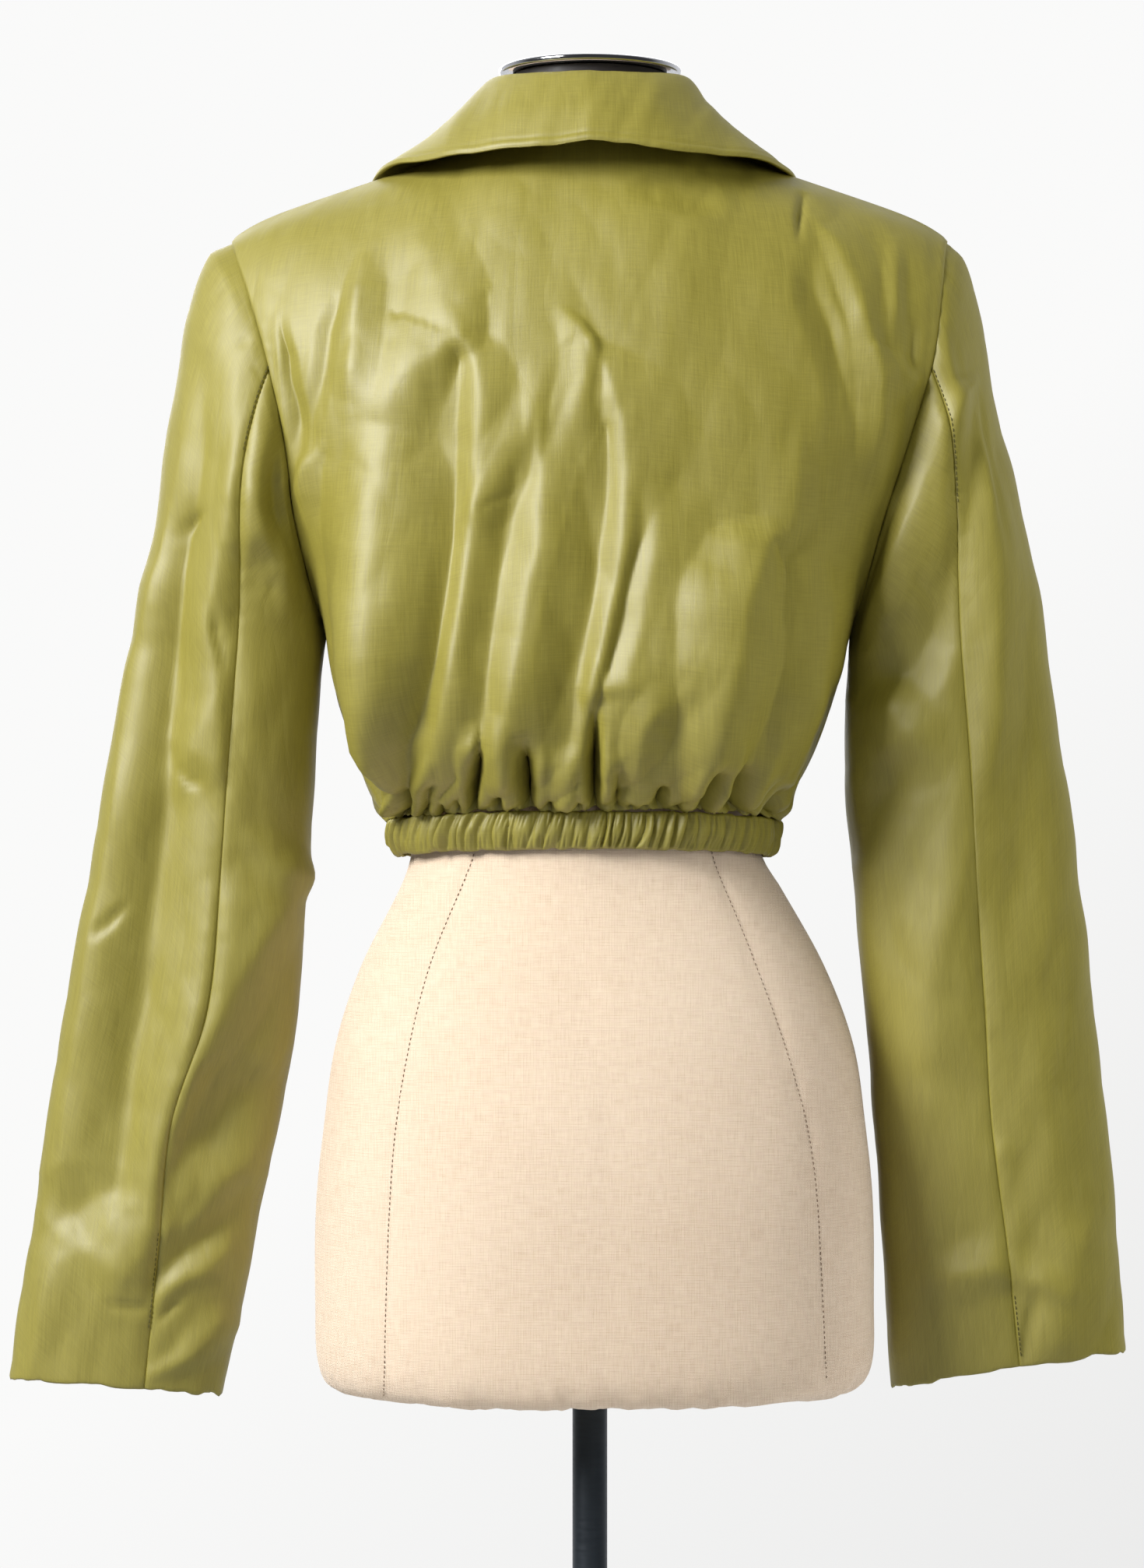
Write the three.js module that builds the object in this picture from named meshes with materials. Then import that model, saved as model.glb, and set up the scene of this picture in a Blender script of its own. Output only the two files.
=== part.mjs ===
// A cropped blazer on a dress form, seen at its best from behind.
//
// Millimetres, +Z up. The origin is on the floor, on the axis of the stand.
// The blazer's front faces -Y, its back +Y, and +X is the wearer's left.
//
// Every cloth piece is a thin closed wall: a grid of outer points, the same grid moved in along
// the surface's normals, and a rim round the edge. Neighbouring pieces share their seam lines.
import * as THREE from "three";

// ---------------------------------------------------------------- driving sizes
const CLOTH = 1.4; // thickness of the body and sleeve walls
const COLLAR_CLOTH = 2.0; // the collar and lapels are two layers and an interlining
const SEAM_GAP = 0.34; // clear distance between two sewn pieces
const BAND_TOP = 1066; // at the sides
const BAND_HEIGHT = 22;
const BAND_GATHERS_BACK = 46;
const BAND_GATHERS_FRONT = 20; // each front
const BAND_JOIN = 0.45; // from the panels' lower edge down to the band, before the seam gap
const BAND_CLOTH = 2;
const BAND_PUFF = 2.6; // how far the band swells between its edges
const BAND_RIPPLE = 1.3;
const BAND_SNUG = 3.5; // its lower edge sits this much closer to the waist
const BAND_RIPPLE_STEPS = [-1, 0.7, 1]; // in, nearly out, out: one gather's three columns
const BAND_UNEVEN = 0.25; // share by which gathers differ
const BAND_EDGE_RIPPLE = 0.55; // share of the ripple left at its two edges
const BAND_END = 0.522; // a front band's end, in turns from the centre back
const BAND_FLAT = 0.14; // share of a front band that lies flat at the button
const FRONT_OVERLAP = 15; // each front passes the centre line by this much
const FRONT_LIFT = 2.8; // the right front lies this far out, over the left one
const BREAK_Z = 1150; // where the lapels begin to turn back
const NECK_POINT = { x: 70, y: -2, z: 1466 }; // where neckline and shoulder seam meet
const NECK_DEPTH = 60; // neckline's reach behind and before the neck point
const BACK_NECK_DROP = 4; // the back neckline lies this much below the neck point
const FRONT_NECK_DROP = 40;
const NECK_SHARE = 0.36; // share of the top edge taken by the neckline
const SHOULDER_TIP = { x: 213.5, y: -8, z: 1411.5 };
const SHOULDER_ROUND = { fall: 7, power: 12 }; // extra fall at the very tip of the shoulder

// Along the side seam and round the armhole a place is one number: -1 at the band, 0 under the arm
// and 0.5 at the shoulder tip, on the back and on the front alike. The pieces' vertices meet here.
const SIDE_PLACES = [-1, -0.86, -0.68, -0.45, -0.22];
const BACK_PLACES = [0, 0.035, 0.07, 0.11, 0.15, 0.185, 0.22, 0.27, 0.32, 0.37, 0.42, 0.46, 0.5];
const FRONT_PLACES = [0, 0.04, 0.08, 0.12, 0.16, 0.2, 0.25, 0.3, 0.35, 0.4, 0.45, 0.5];
const SLEEVE_BACK_SEAM = 0.22;
const SLEEVE_FRONT_SEAM = 0.16;

// The armhole, once round: 0 and 1 under the arm, a quarter at the back, a half at the tip. The
// whole garment leans a little to the wearer's left, by `lean`.
const ARMHOLE = [
  { at: 0.0, x: 156.5, lean: 1, y: -4, z: 1184 },
  { at: 0.06, x: 161.5, lean: 1, y: 26, z: 1197 },
  { at: 0.12, x: 172, lean: 0.5, y: 50, z: 1240 },
  { at: 0.17, x: 182, lean: -4, y: 60, z: 1286 },
  { at: 0.22, x: 193, lean: -6, y: 61, z: 1329 },
  { at: 0.32, x: 203, lean: -3, y: 45, z: 1373 },
  { at: 0.42, x: 210.5, lean: 0, y: 18, z: 1402 },
  { at: 0.5, x: SHOULDER_TIP.x, lean: 0, y: SHOULDER_TIP.y, z: SHOULDER_TIP.z },
  { at: 0.58, x: 210, lean: 0, y: -33, z: 1400 },
  { at: 0.68, x: 199, lean: 0, y: -56, z: 1364 },
  { at: 0.77, x: 184, lean: 0, y: -68, z: 1315 },
  { at: 0.86, x: 169, lean: 0.5, y: -62, z: 1252 },
  { at: 0.94, x: 159.5, lean: 1, y: -36, z: 1203 },
];

// The side seam, from the band up to the armhole.
const SIDE_SEAM = [
  { z: 1066, x: 114.5, lean: 3.5, y: 12 },
  { z: 1076, x: 120.5, lean: 5, y: 12 },
  { z: 1096, x: 131, lean: 4, y: 12 },
  { z: 1118, x: 139.5, lean: 3, y: 11 },
  { z: 1141, x: 147, lean: 2.5, y: 8 },
  { z: 1164, x: 152.5, lean: 1.5, y: 3 },
  { z: 1184, x: 156.5, lean: 1, y: -4 },
];

// Rows across the back: height and depth at the centre, where the row ends, how far it wraps round
// the body, and how square it is (1 is round). The low rows end on the side seam, the others on
// the armhole. The cloth hangs free of the waist in wide planes, so its middle rows are squarest.
const BACK_ROWS = [
  { z: 1070.3, depth: 90, seam: 0, wrap: 86, square: 1 }, // the band rides higher at the centre
  { z: 1082, depth: 108, seam: 0.12, wrap: 86, square: 1.15 },
  { z: 1103, depth: 120, seam: 0.28, wrap: 86, square: 1.45 },
  { z: 1133, depth: 126, seam: 0.52, wrap: 90, square: 1.65 },
  { z: 1166, depth: 127, seam: 0.78, wrap: 94, square: 1.65 },
  { z: 1197, depth: 125, armhole: 0, wrap: 97, square: 1.55 },
  { z: 1230, depth: 122.5, armhole: 0.08, wrap: 80, square: 1.35 },
  { z: 1270, depth: 120.5, armhole: 0.14, wrap: 68, square: 1.2 },
  { z: 1312, depth: 117.5, armhole: 0.2, wrap: 62, square: 1.05 },
];
const FRONT_ROWS = [
  { z: 1066, depth: -97, seam: 0, wrap: 97, square: 1 },
  { z: 1082, depth: -108, seam: 0.12, wrap: 97, square: 1 },
  { z: 1103, depth: -115, seam: 0.28, wrap: 96, square: 1 },
  { z: 1133, depth: -121, seam: 0.52, wrap: 95, square: 1 },
  { z: 1166, depth: -128, seam: 0.78, wrap: 93, square: 1 },
  { z: 1200, depth: -134, armhole: 1, wrap: 91, square: 1 },
  { z: 1235, depth: -138, armhole: 0.935, wrap: 84, square: 1 },
  { z: 1270, depth: -138.5, armhole: 0.875, wrap: 76, square: 1 },
  { z: 1305, depth: -130, armhole: 0.81, wrap: 69, square: 1 },
  { z: 1335, depth: -116, armhole: 0.75, wrap: 64, square: 1 },
];
// How a column leaves the last of those rows and arrives at the shoulder seam or the neckline.
const BACK_ROLL = { leave: [0, -0.12, 1], neck: [0, -0.62, 0.8], shoulder: [0, -1.15, 0.14] };
const FRONT_ROLL = { leave: [0, 0.4, 1], neck: [0, 0.55, 0.85], shoulder: [0, 1.1, 0.14] };
const ROLL_ROWS = 3; // rows between

// The front edge: straight up to the break, then along the roll line to the neck point.
const FRONT_EDGE = [
  { z: 1066, x: -FRONT_OVERLAP },
  { z: 1110, x: -FRONT_OVERLAP },
  { z: BREAK_Z, x: -FRONT_OVERLAP },
  { z: 1185, x: -6 },
  { z: 1300, x: 27 },
  { z: 1390, x: 54.5 },
  { z: 1424, x: 65.5 },
  { z: 1440, x: 69.5 },
  { z: 1470, x: 70 },
];

// Large folds of the back, as seen from behind: each runs down through three heights, with its
// place across (+ is the wearer's left), its half-width at both ends and its height.
// A negative height is a trough.
const BACK_FOLDS = [
  { name: "left blade ridge", z: [1343, 1283, 1185], x: [74, 65, 77], width: [7, 14], height: 7 },
  { name: "its foot", z: [1215, 1142, 1068], x: [70, 85, 104], width: [12, 9], height: 6 },
  { name: "trough outside it", z: [1330, 1248, 1150], x: [84, 105, 104], width: [10, 19], height: -8 },
  { name: "left blade swell", z: [1400, 1350, 1290], x: [103, 104, 122], width: [13, 22], height: 5 },
  { name: "left shoulder trough", z: [1400, 1368, 1330], x: [116, 124, 131], width: [7, 9], height: -5 },
  { name: "left armhole trough", z: [1350, 1322, 1258], x: [175, 172, 169], width: [7, 9], height: -7 },
  { name: "left side ridge", z: [1300, 1262, 1225], x: [142, 160, 163], width: [9, 10], height: 5 },
  { name: "left side trough", z: [1278, 1240, 1195], x: [147, 152, 146], width: [9, 13], height: -6 },
  { name: "centre ridge", z: [1334, 1256, 1141], x: [-3, -24, -8], width: [7, 13], height: 7 },
  { name: "trough inside it", z: [1322, 1250, 1140], x: [3, -1, 9], width: [7, 13], height: -6 },
  { name: "middle ridge", z: [1284, 1230, 1160], x: [31, 33, 45], width: [7, 14], height: 5 },
  { name: "middle trough", z: [1268, 1221, 1150], x: [45, 57, 63], width: [8, 13], height: -6 },
  { name: "right blade ridge", z: [1403, 1332, 1265], x: [-132, -155, -162], width: [8, 11], height: 8 },
  { name: "right blade trough", z: [1385, 1341, 1290], x: [-122, -135, -146], width: [12, 15], height: -4 },
  { name: "right armhole trough", z: [1330, 1300, 1235], x: [-165, -175, -170], width: [7, 11], height: -7 },
  { name: "right swell", z: [1290, 1194, 1110], x: [-78, -56, -38], width: [20, 17], height: 5 },
  { name: "right trough", z: [1230, 1154, 1075], x: [-109, -86, -62], width: [16, 13], height: -7 },
  { name: "left waist ridge", z: [1270, 1172, 1090], x: [122, 125, 115], width: [17, 9], height: 7 },
  { name: "right side ridge", z: [1225, 1150, 1090], x: [-155, -130, -104], width: [12, 9], height: 5 },
];
// A fold begins and ends a little past its first and last height, as shares of its length, and
// grows and dies over these shares. Near the sides and the top of a panel all folds die out.
const FOLD_RUN = { above: 0.08, below: 0.15, grow: 0.3, die: 0.4 };
const FOLD_REST = { side: 0.06, top: 0.12 };
const SLEEVE_FOLD_REST = { armhole: 0.12, cuff: 0.08 };
// Gathers above the band: place across, half-width, depth and how far up each one runs.
const BACK_GATHERS = [
  { x: 115, width: 5, depth: 4, up: 40 },
  { x: 104, width: 5, depth: 5, up: 55 },
  { x: 90, width: 6, depth: 3, up: 30 },
  { x: 66, width: 6, depth: 8, up: 60 },
  { x: 50, width: 5, depth: 5, up: 26 },
  { x: 33, width: 6, depth: 8, up: 55 },
  { x: 15, width: 5, depth: 4, up: 24 },
  { x: -4, width: 6, depth: 9, up: 85 },
  { x: -23, width: 5, depth: 4, up: 28 },
  { x: -40, width: 6, depth: 7, up: 36 },
  { x: -60, width: 6, depth: 8, up: 62 },
  { x: -77, width: 6, depth: 8, up: 70 },
  { x: -97, width: 6, depth: 6, up: 45 },
  { x: -110, width: 5, depth: 4, up: 36 },
];
const GATHER_SPREAD = 0.9; // a gather is this much wider at its upper end
const GATHER_FOOT = { share: 0.12, height: 10 }; // it starts this shallow, and deepens over this
const FRONT_GATHERS = [
  { x: 36, width: 6, depth: 6, up: 45 },
  { x: 50, width: 6, depth: 7, up: 70 },
  { x: 64, width: 6, depth: 5, up: 40 },
  { x: 80, width: 6, depth: 8, up: 75 },
  { x: 95, width: 5, depth: 6, up: 45 },
  { x: 108, width: 5, depth: 6, up: 55 },
];
const FRONT_FOLDS = [
  { name: "bust to side", z: [1262, 1205, 1130], x: [104, 112, 110], width: [12, 12], height: -5 },
  { name: "bust drop", z: [1212, 1160, 1095], x: [84, 76, 62], width: [14, 13], height: 5 },
  { name: "armhole fold", z: [1340, 1300, 1250], x: [163, 150, 132], width: [8, 11], height: -5 },
];

// Sections of the sleeves: centre, half-width, half-depth, the slopes of the ring from its inner to
// its outer side and from front to back, and how far the seams turn round the arm, in degrees.
const LEFT_SLEEVE = [
  { z: 1164, x: 217.4, y: 0, width: 57.4, depth: 53, slope: 0, tip: 0, turn: 0 },
  { z: 1094, x: 226.5, y: -1, width: 61, depth: 50, slope: 0, tip: 0, turn: -2.5 },
  { z: 1025, x: 235.5, y: -4, width: 64.5, depth: 46, slope: 0.02, tip: 0, turn: -5 },
  { z: 955, x: 244.5, y: -9, width: 68.1, depth: 43, slope: 0.04, tip: 0, turn: -5 },
  { z: 885, x: 255.9, y: -16, width: 67.9, depth: 40, slope: 0.06, tip: 0.02, turn: 4 },
  { z: 814, x: 269.3, y: -24, width: 66.1, depth: 37, slope: 0.07, tip: 0.05, turn: -1 },
  { z: 724, x: 286.9, y: -34, width: 63.7, depth: 34, slope: 0.085, tip: 0.1, turn: -8 },
];
const RIGHT_SLEEVE = [
  { z: 1164, x: 214.1, y: 0, width: 59.3, depth: 53, slope: 0, tip: 0, turn: 14.5 },
  { z: 1094, x: 218.2, y: -1, width: 65.6, depth: 50, slope: 0, tip: 0, turn: 15.5 },
  { z: 1025, x: 225.1, y: -4, width: 66.3, depth: 46, slope: 0.03, tip: 0, turn: 13 },
  { z: 955, x: 232.8, y: -9, width: 67.2, depth: 43, slope: 0.06, tip: 0, turn: 11 },
  { z: 885, x: 240.1, y: -16, width: 68.1, depth: 40, slope: 0.09, tip: 0.02, turn: 9 },
  { z: 814, x: 246.7, y: -24, width: 69.4, depth: 37, slope: 0.12, tip: 0.05, turn: 11.5 },
  { z: 734.5, x: 253.1, y: -34, width: 70.4, depth: 34, slope: 0.158, tip: 0.1, turn: 14 },
];
// Folds of the sleeves: place round (0 inner, 0.25 back, 0.5 outer), heights, half-width and height.
const LEFT_SLEEVE_FOLDS = [
  { around: [0.43, 0.37, 0.42], z: [1360, 1180, 940], width: [0.035, 0.06], height: -6 },
  { around: [0.3, 0.3, 0.33], z: [1340, 1200, 1020], width: [0.05, 0.06], height: 4 },
  { around: [0.16, 0.12, 0.15], z: [1240, 1170, 1050], width: [0.035, 0.05], height: -5 },
  { around: [0.3, 0.22, 0.14], z: [1060, 1010, 960], width: [0.05, 0.05], height: -4 },
  { around: [0.4, 0.3, 0.24], z: [900, 850, 800], width: [0.05, 0.05], height: -4 },
  { around: [0.8, 0.76, 0.8], z: [1200, 1080, 900], width: [0.05, 0.06], height: -4 },
  { around: [0.65, 0.66, 0.62], z: [1000, 900, 800], width: [0.05, 0.05], height: 4 },
];
const RIGHT_SLEEVE_FOLDS = [
  { around: [0.42, 0.36, 0.33], z: [1345, 1290, 1215], width: [0.04, 0.05], height: -5 },
  { around: [0.36, 0.36, 0.38], z: [1250, 1150, 1000], width: [0.04, 0.05], height: 4 },
  { around: [0.14, 0.13, 0.12], z: [1230, 1160, 1060], width: [0.04, 0.05], height: -5 },
  { around: [0.12, 0.2, 0.26], z: [1130, 1095, 1050], width: [0.05, 0.05], height: 4 },
  { around: [0.42, 0.44, 0.42], z: [1150, 980, 800], width: [0.04, 0.05], height: -4 },
  { around: [0.8, 0.76, 0.8], z: [1200, 1080, 900], width: [0.05, 0.06], height: -4 },
  { around: [0.65, 0.66, 0.62], z: [1000, 900, 800], width: [0.05, 0.05], height: 4 },
];
// How the sleeve leaves the armhole: outward at the shoulder, down under the arm.
const SLEEVE_LEAVES = { top: [0.54, 0, -0.86], under: [0.16, 0, -1], swell: 0.3, bend: 0.6 };
const CAP_SHARE = 0.38; // share of the sleeve's rows above its first full section

// The collar, from the centre back to its front end: the neck seam (as a turn along the neckline
// behind the neck point), the roll line, the middle of the fall and its outer edge. Its last row
// lies on the front, so that it holds places seen from the front.
const COLLAR = [
  { turn: 0, roll: [0, 56.5, 1500.5], middle: [0, 78, 1481], edge: [0, 93, 1457.3] },
  { turn: 25, roll: [27, 50, 1501], middle: [34, 72, 1480.5], edge: [40, 88, 1454.5] },
  { turn: 48, roll: [47, 33, 1503], middle: [58, 53, 1481.5], edge: [75, 70, 1452.5] },
  { turn: 68, roll: [56.5, 13, 1504], middle: [73, 30, 1484], edge: [103, 43, 1452.8] },
  { turn: 90, roll: [59.5, -7, 1502], middle: [79.5, 2, 1484], edge: [122, 8, 1452] },
  { seam: [66, -22, 1465], roll: [61, -27, 1493], middle: [83, -27, 1477], edge: [131, -28, 1445.5] },
  { seam: [63.5, -42, 1454], roll: [61.5, -48, 1471], middle: [86, -52, 1456], edge: [129, -50, 1434] },
];
const COLLAR_END = { seam: [61, 1434], roll: [80, 1423], middle: [99, 1411.5], edge: [119, 1423] };
const COLLAR_END_SHARE = 0.14; // over this share its line across turns from a curve into corners
const COLLAR_STANDS = 4.9; // from the fronts' outer face to the collar's, at its ends
// The lapel, from the break up to the notch: heights on the roll line, and its outer edge as seen
// from the front. The left one starts where it comes out from under the right front.
const LAPEL = [
  { z: 1154, edge: [-9, 1155] },
  { z: 1180, edge: [14, 1176] },
  { z: 1225, edge: [44, 1214] },
  { z: 1272, edge: [74, 1257] },
  { z: 1320, edge: [100, 1303] },
  { z: 1366, edge: [117, 1345] },
  { z: 1430, edge: [127, 1393] },
];
const LEFT_LAPEL_START = 0.14;
const LEFT_LAPEL_CLEAR = 2.6; // it stays this far from the right front's edge
const LAPEL_ROLL_OUT = 1.5; // the roll passes the front's edge by this much
const LAPEL_LIFT = 4.5; // from the front's outer face to the lapel's

// Buttons: on the overlap and on the band.
const BUTTON = { radius: 9, thickness: 3, hole: 1.3, holeSpread: 2.6 };
const BUTTON_BREAK_Z = BREAK_Z - 18;
const BUTTON_STANDS = 2; // from the cloth's outer face to the button's back

// The dress form, from its underside to the top of its cloth neck: its middle, half-width, reach to
// the back and to the front, and squareness of the section.
const FORM = [
  { z: 723.5, x: -3, side: 137, back: 88, front: 80, square: 2.1 },
  { z: 726, x: -3, side: 152, back: 99, front: 91, square: 2.15 },
  { z: 733, x: -3, side: 161.5, back: 106.5, front: 98, square: 2.2 },
  { z: 747, x: -3, side: 166, back: 111, front: 102.5, square: 2.25 },
  { z: 775, x: -3, side: 166.5, back: 114.5, front: 105, square: 2.3 },
  { z: 838, x: -3, side: 166, back: 118.5, front: 107, square: 2.3 },
  { z: 885, x: -3, side: 161.5, back: 116, front: 105, square: 2.3 },
  { z: 932, x: -3, side: 154.5, back: 108, front: 101, square: 2.25 },
  { z: 978, x: -2, side: 138.5, back: 96, front: 94.5, square: 2.2 },
  { z: 1025, x: -0.5, side: 113.5, back: 83, front: 87, square: 2.1 },
  { z: 1040, x: 1.5, side: 106, back: 81, front: 86, square: 2.05 },
  { z: 1056, x: 3, side: 102.5, back: 80, front: 85.5, square: 2 },
  { z: 1090, x: 3, side: 105.5, back: 82, front: 88.5, square: 2.1 },
  { z: 1135, x: 2, side: 118, back: 85, front: 97, square: 2.15 },
  { z: 1180, x: 1, side: 128, back: 91, front: 109, square: 2.15 },
  { z: 1225, x: 0, side: 136, back: 96, front: 122, square: 2.2 },
  { z: 1262, x: 0, side: 141, back: 99.5, front: 127, square: 2.2 },
  { z: 1300, x: 0, side: 145, back: 101, front: 119, square: 2.25 },
  { z: 1340, x: 0, side: 151, back: 97, front: 99, square: 2.3 },
  { z: 1375, x: 0, side: 158, back: 84, front: 78, square: 2.25 },
  { z: 1398, x: 0, side: 161, back: 70, front: 62, square: 2.05 },
  { z: 1413, x: 0, side: 157, back: 60, front: 54, square: 1.9 },
  { z: 1425, x: 0, side: 145, back: 54, front: 50, square: 1.75 },
  { z: 1436, x: 0, side: 122, back: 50, front: 49, square: 1.7 },
  { z: 1448, x: 0, side: 92, back: 48, front: 48.5, square: 1.75 },
  { z: 1458, x: 0, side: 69, back: 47.5, front: 48.5, square: 1.9 },
  { z: 1470, x: 0, side: 55.5, back: 48, front: 49, square: 2 },
  { z: 1488, x: 0, side: 50.5, back: 48.5, front: 49, square: 2 },
  { z: 1504, x: 0, side: 49.5, back: 49.5, front: 49.5, square: 2 },
];
const NECK_RING = { radius: 46, low: 1504.3, high: 1509.7 };
const NECK_CAP = { radius: 54.5, low: 1510, high: 1514, edge: 1 };
const POLE_RADIUS = 10.4;
const BASE = { radius: 190, thickness: 8, edge: 2 };
const SOCKET = { radius: 18, height: 42, edge: 3 };
const TOUCH = 0.3; // gap between hard pieces that meet

// How the pieces meet and lap.
const CORNER_BLEND = 0.06; // places over which back and front share a normal at the armhole
const MITRE = { sharp: 0.45, span: 0.25, least: 0.3 }; // sharper joins keep their own way in
const OVERLAP_FADE = { across: 40, up: 0.8, over: 0.3 }; // the right front's lift dies out here
const UNDER_ARM = 0.3; // how far round from the underarm the sleeve keeps its seam gap
const LEAST_ACROSS = -0.3; // a front reaches past the centre by less than this share
const AT_EDGE = 0.001; // nearer than this share is on the edge

// Grid cells: across half the back neck and along a shoulder, down a sleeve, along and across the
// collar, across and up a lapel, and round the form.
const NECK_CELLS = 9;
const SHOULDER_CELLS = 15;
const SLEEVE_ROWS = 14;
const COLLAR_CELLS = [28, 6];
const LAPEL_CELLS = [6, 11];
const FORM_CORNERS = 32;
const ROUNDNESS = { button: 8, ring: 40, cap: 48, pole: 24, base: 64 };
const HALVINGS = 24; // steps of a search for a place on the front
const NORMAL_STEP = 2e-3; // shares of a surface over which its slope is measured

// ---------------------------------------------------------------- small helpers
const mix = (a, b, t) => a + (b - a) * t;
const clamp = (t, low = 0, high = 1) => Math.min(Math.max(t, low), high);
const smooth = (t) => clamp(t) ** 2 * (3 - 2 * clamp(t));
const radians = (degrees) => (degrees * Math.PI) / 180;
const vector = (x, y, z) => new THREE.Vector3(x, y, z);
const steps = (from, to, count) =>
  Array.from({ length: count + 1 }, (_, i) => mix(from, to, i / count));

// A smooth curve through the rows of a table: the value of one column where another is `at`.
function between(rows, key, at, column) {
  const last = rows.length - 1;
  let i = 0;
  while (i < last - 1 && at > rows[i + 1][key]) i += 1;
  const slope = (k) => {
    const a = rows[Math.max(k - 1, 0)];
    const b = rows[Math.min(k + 1, last)];
    return (b[column] - a[column]) / (b[key] - a[key]);
  };
  const [from, to] = [rows[i], rows[i + 1]];
  const step = to[key] - from[key];
  const t = clamp((at - from[key]) / step);
  const [t2, t3] = [t * t, t * t * t];
  return (
    from[column] * (2 * t3 - 3 * t2 + 1) +
    to[column] * (3 * t2 - 2 * t3) +
    step * (slope(i) * (t3 - 2 * t2 + t) + slope(i + 1) * (t3 - t2))
  );
}

// A smooth curve through points 0 to last, with t from 0 to 1 and equal shares for each step.
function through(point, last, t) {
  const i = Math.min(Math.floor(clamp(t) * last), last - 1);
  const f = clamp(t) * last - i;
  const [before, from, to, after] = [i - 1, i, i + 1, i + 2].map((k) => point(clamp(k, 0, last)));
  const leave = to.clone().sub(before).multiplyScalar(i > 0 ? 0.5 : 1);
  const arrive = after.clone().sub(from).multiplyScalar(i < last - 1 ? 0.5 : 1);
  return hermite(from, leave, to, arrive, f);
}

function hermite(from, leave, to, arrive, t) {
  const [t2, t3] = [t * t, t * t * t];
  return from
    .clone()
    .multiplyScalar(2 * t3 - 3 * t2 + 1)
    .addScaledVector(leave, t3 - 2 * t2 + t)
    .addScaledVector(to, 3 * t2 - 2 * t3)
    .addScaledVector(arrive, t3 - t2);
}

// How much a fold that runs down through three heights lifts a point at (across, z).
function foldAt(fold, places, across, z) {
  const [top, , bottom] = fold.z;
  const down = (top - z) / (top - bottom);
  const [before, past] = [down + FOLD_RUN.above, 1 + FOLD_RUN.below - down];
  if (before < 0 || past < 0) return 0;
  const rows = [0, 1, 2].map((i) => ({ z: -fold.z[i], place: places[i] }));
  const centre = between(rows, "z", -z, "place");
  const width = mix(fold.width[0], fold.width[1], clamp(down));
  const fade = smooth(before / FOLD_RUN.grow) * smooth(past / FOLD_RUN.die);
  return fold.height * fade * Math.exp(-(((across - centre) / width) ** 2));
}

function gatherAt(gather, across, z) {
  const up = (z - BAND_TOP) / gather.up;
  if (up > 1) return 0;
  const width = gather.width * (1 + GATHER_SPREAD * clamp(up));
  const depth = gather.depth * (1 - smooth(up));
  const nearBand = mix(GATHER_FOOT.share, 1, smooth((z - BAND_TOP) / GATHER_FOOT.height));
  return -depth * nearBand * Math.exp(-(((across - gather.x) / width) ** 2));
}

// ---------------------------------------------------------------- the body's surface
const SIDES = [
  { name: "left", sign: 1, lift: 0, sleeve: LEFT_SLEEVE, folds: LEFT_SLEEVE_FOLDS, spread: 1 },
  {
    name: "right",
    sign: -1,
    lift: FRONT_LIFT,
    sleeve: RIGHT_SLEEVE,
    folds: RIGHT_SLEEVE_FOLDS,
    spread: 0.955, // the collar lies a little narrower here
  },
];
const [LEFT, RIGHT] = SIDES;
// Each side is worked out on the +X half, then put in its place.
const placed = (side, p) => (side.sign < 0 ? vector(-p.x, p.y, p.z) : p);

const ARMHOLE_ROUND = [
  { ...ARMHOLE.at(-1), at: ARMHOLE.at(-1).at - 1 },
  ...ARMHOLE,
  { ...ARMHOLE[0], at: 1 },
  { ...ARMHOLE[1], at: 1 + ARMHOLE[1].at },
];

function armhole(side, at) {
  const [x, lean, y, z] = ["x", "lean", "y", "z"].map((name) =>
    between(ARMHOLE_ROUND, "at", at, name),
  );
  return vector(x + side.sign * lean, y, z);
}

function sideSeam(side, share) {
  const z = mix(SIDE_SEAM[0].z, SIDE_SEAM.at(-1).z, share);
  const [x, lean, y] = ["x", "lean", "y"].map((name) => between(SIDE_SEAM, "z", z, name));
  return vector(x + side.sign * lean, y, z);
}

// A place on the side seam or on the armhole, behind or before the shoulder tip.
function edgePoint(side, behind, place) {
  if (place < 0) return sideSeam(side, place + 1);
  return armhole(side, behind ? place : 1 - place);
}

function placeOf(row) {
  if (row.armhole === undefined) return row.seam - 1;
  return Math.min(row.armhole, 1 - row.armhole);
}

// A point of a row: across is 0 at the centre and 1 at the row's end.
function rowPoint(row, end, across) {
  const wrap = radians(row.wrap);
  const turn = wrap * across;
  const round = (Math.cos(turn) - Math.cos(wrap)) / (1 - Math.cos(wrap));
  const share = 1 - (1 - round) ** row.square;
  return vector(
    (end.x * Math.sin(turn)) / Math.sin(wrap),
    mix(end.y, row.depth, share),
    mix(end.z, row.z, share),
  );
}

// The neckline behind or before the neck point: turn is 0 at the centre.
const neckline = (turn, depth, drop) =>
  vector(
    NECK_POINT.x * Math.sin(turn),
    NECK_POINT.y + depth * Math.cos(turn),
    NECK_POINT.z - drop * Math.cos(turn) ** 2,
  );

// The top edge: the neckline, then the shoulder seam.
function topEdge(across, depth, drop) {
  if (across < NECK_SHARE) return neckline(((across / NECK_SHARE) * Math.PI) / 2, depth, drop);
  const out = (across - NECK_SHARE) / (1 - NECK_SHARE);
  const fall = NECK_POINT.z - SHOULDER_TIP.z - SHOULDER_ROUND.fall;
  return vector(
    mix(NECK_POINT.x, SHOULDER_TIP.x, out),
    mix(NECK_POINT.y, SHOULDER_TIP.y, out),
    NECK_POINT.z - fall * out - SHOULDER_ROUND.fall * out ** SHOULDER_ROUND.power,
  );
}

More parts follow.
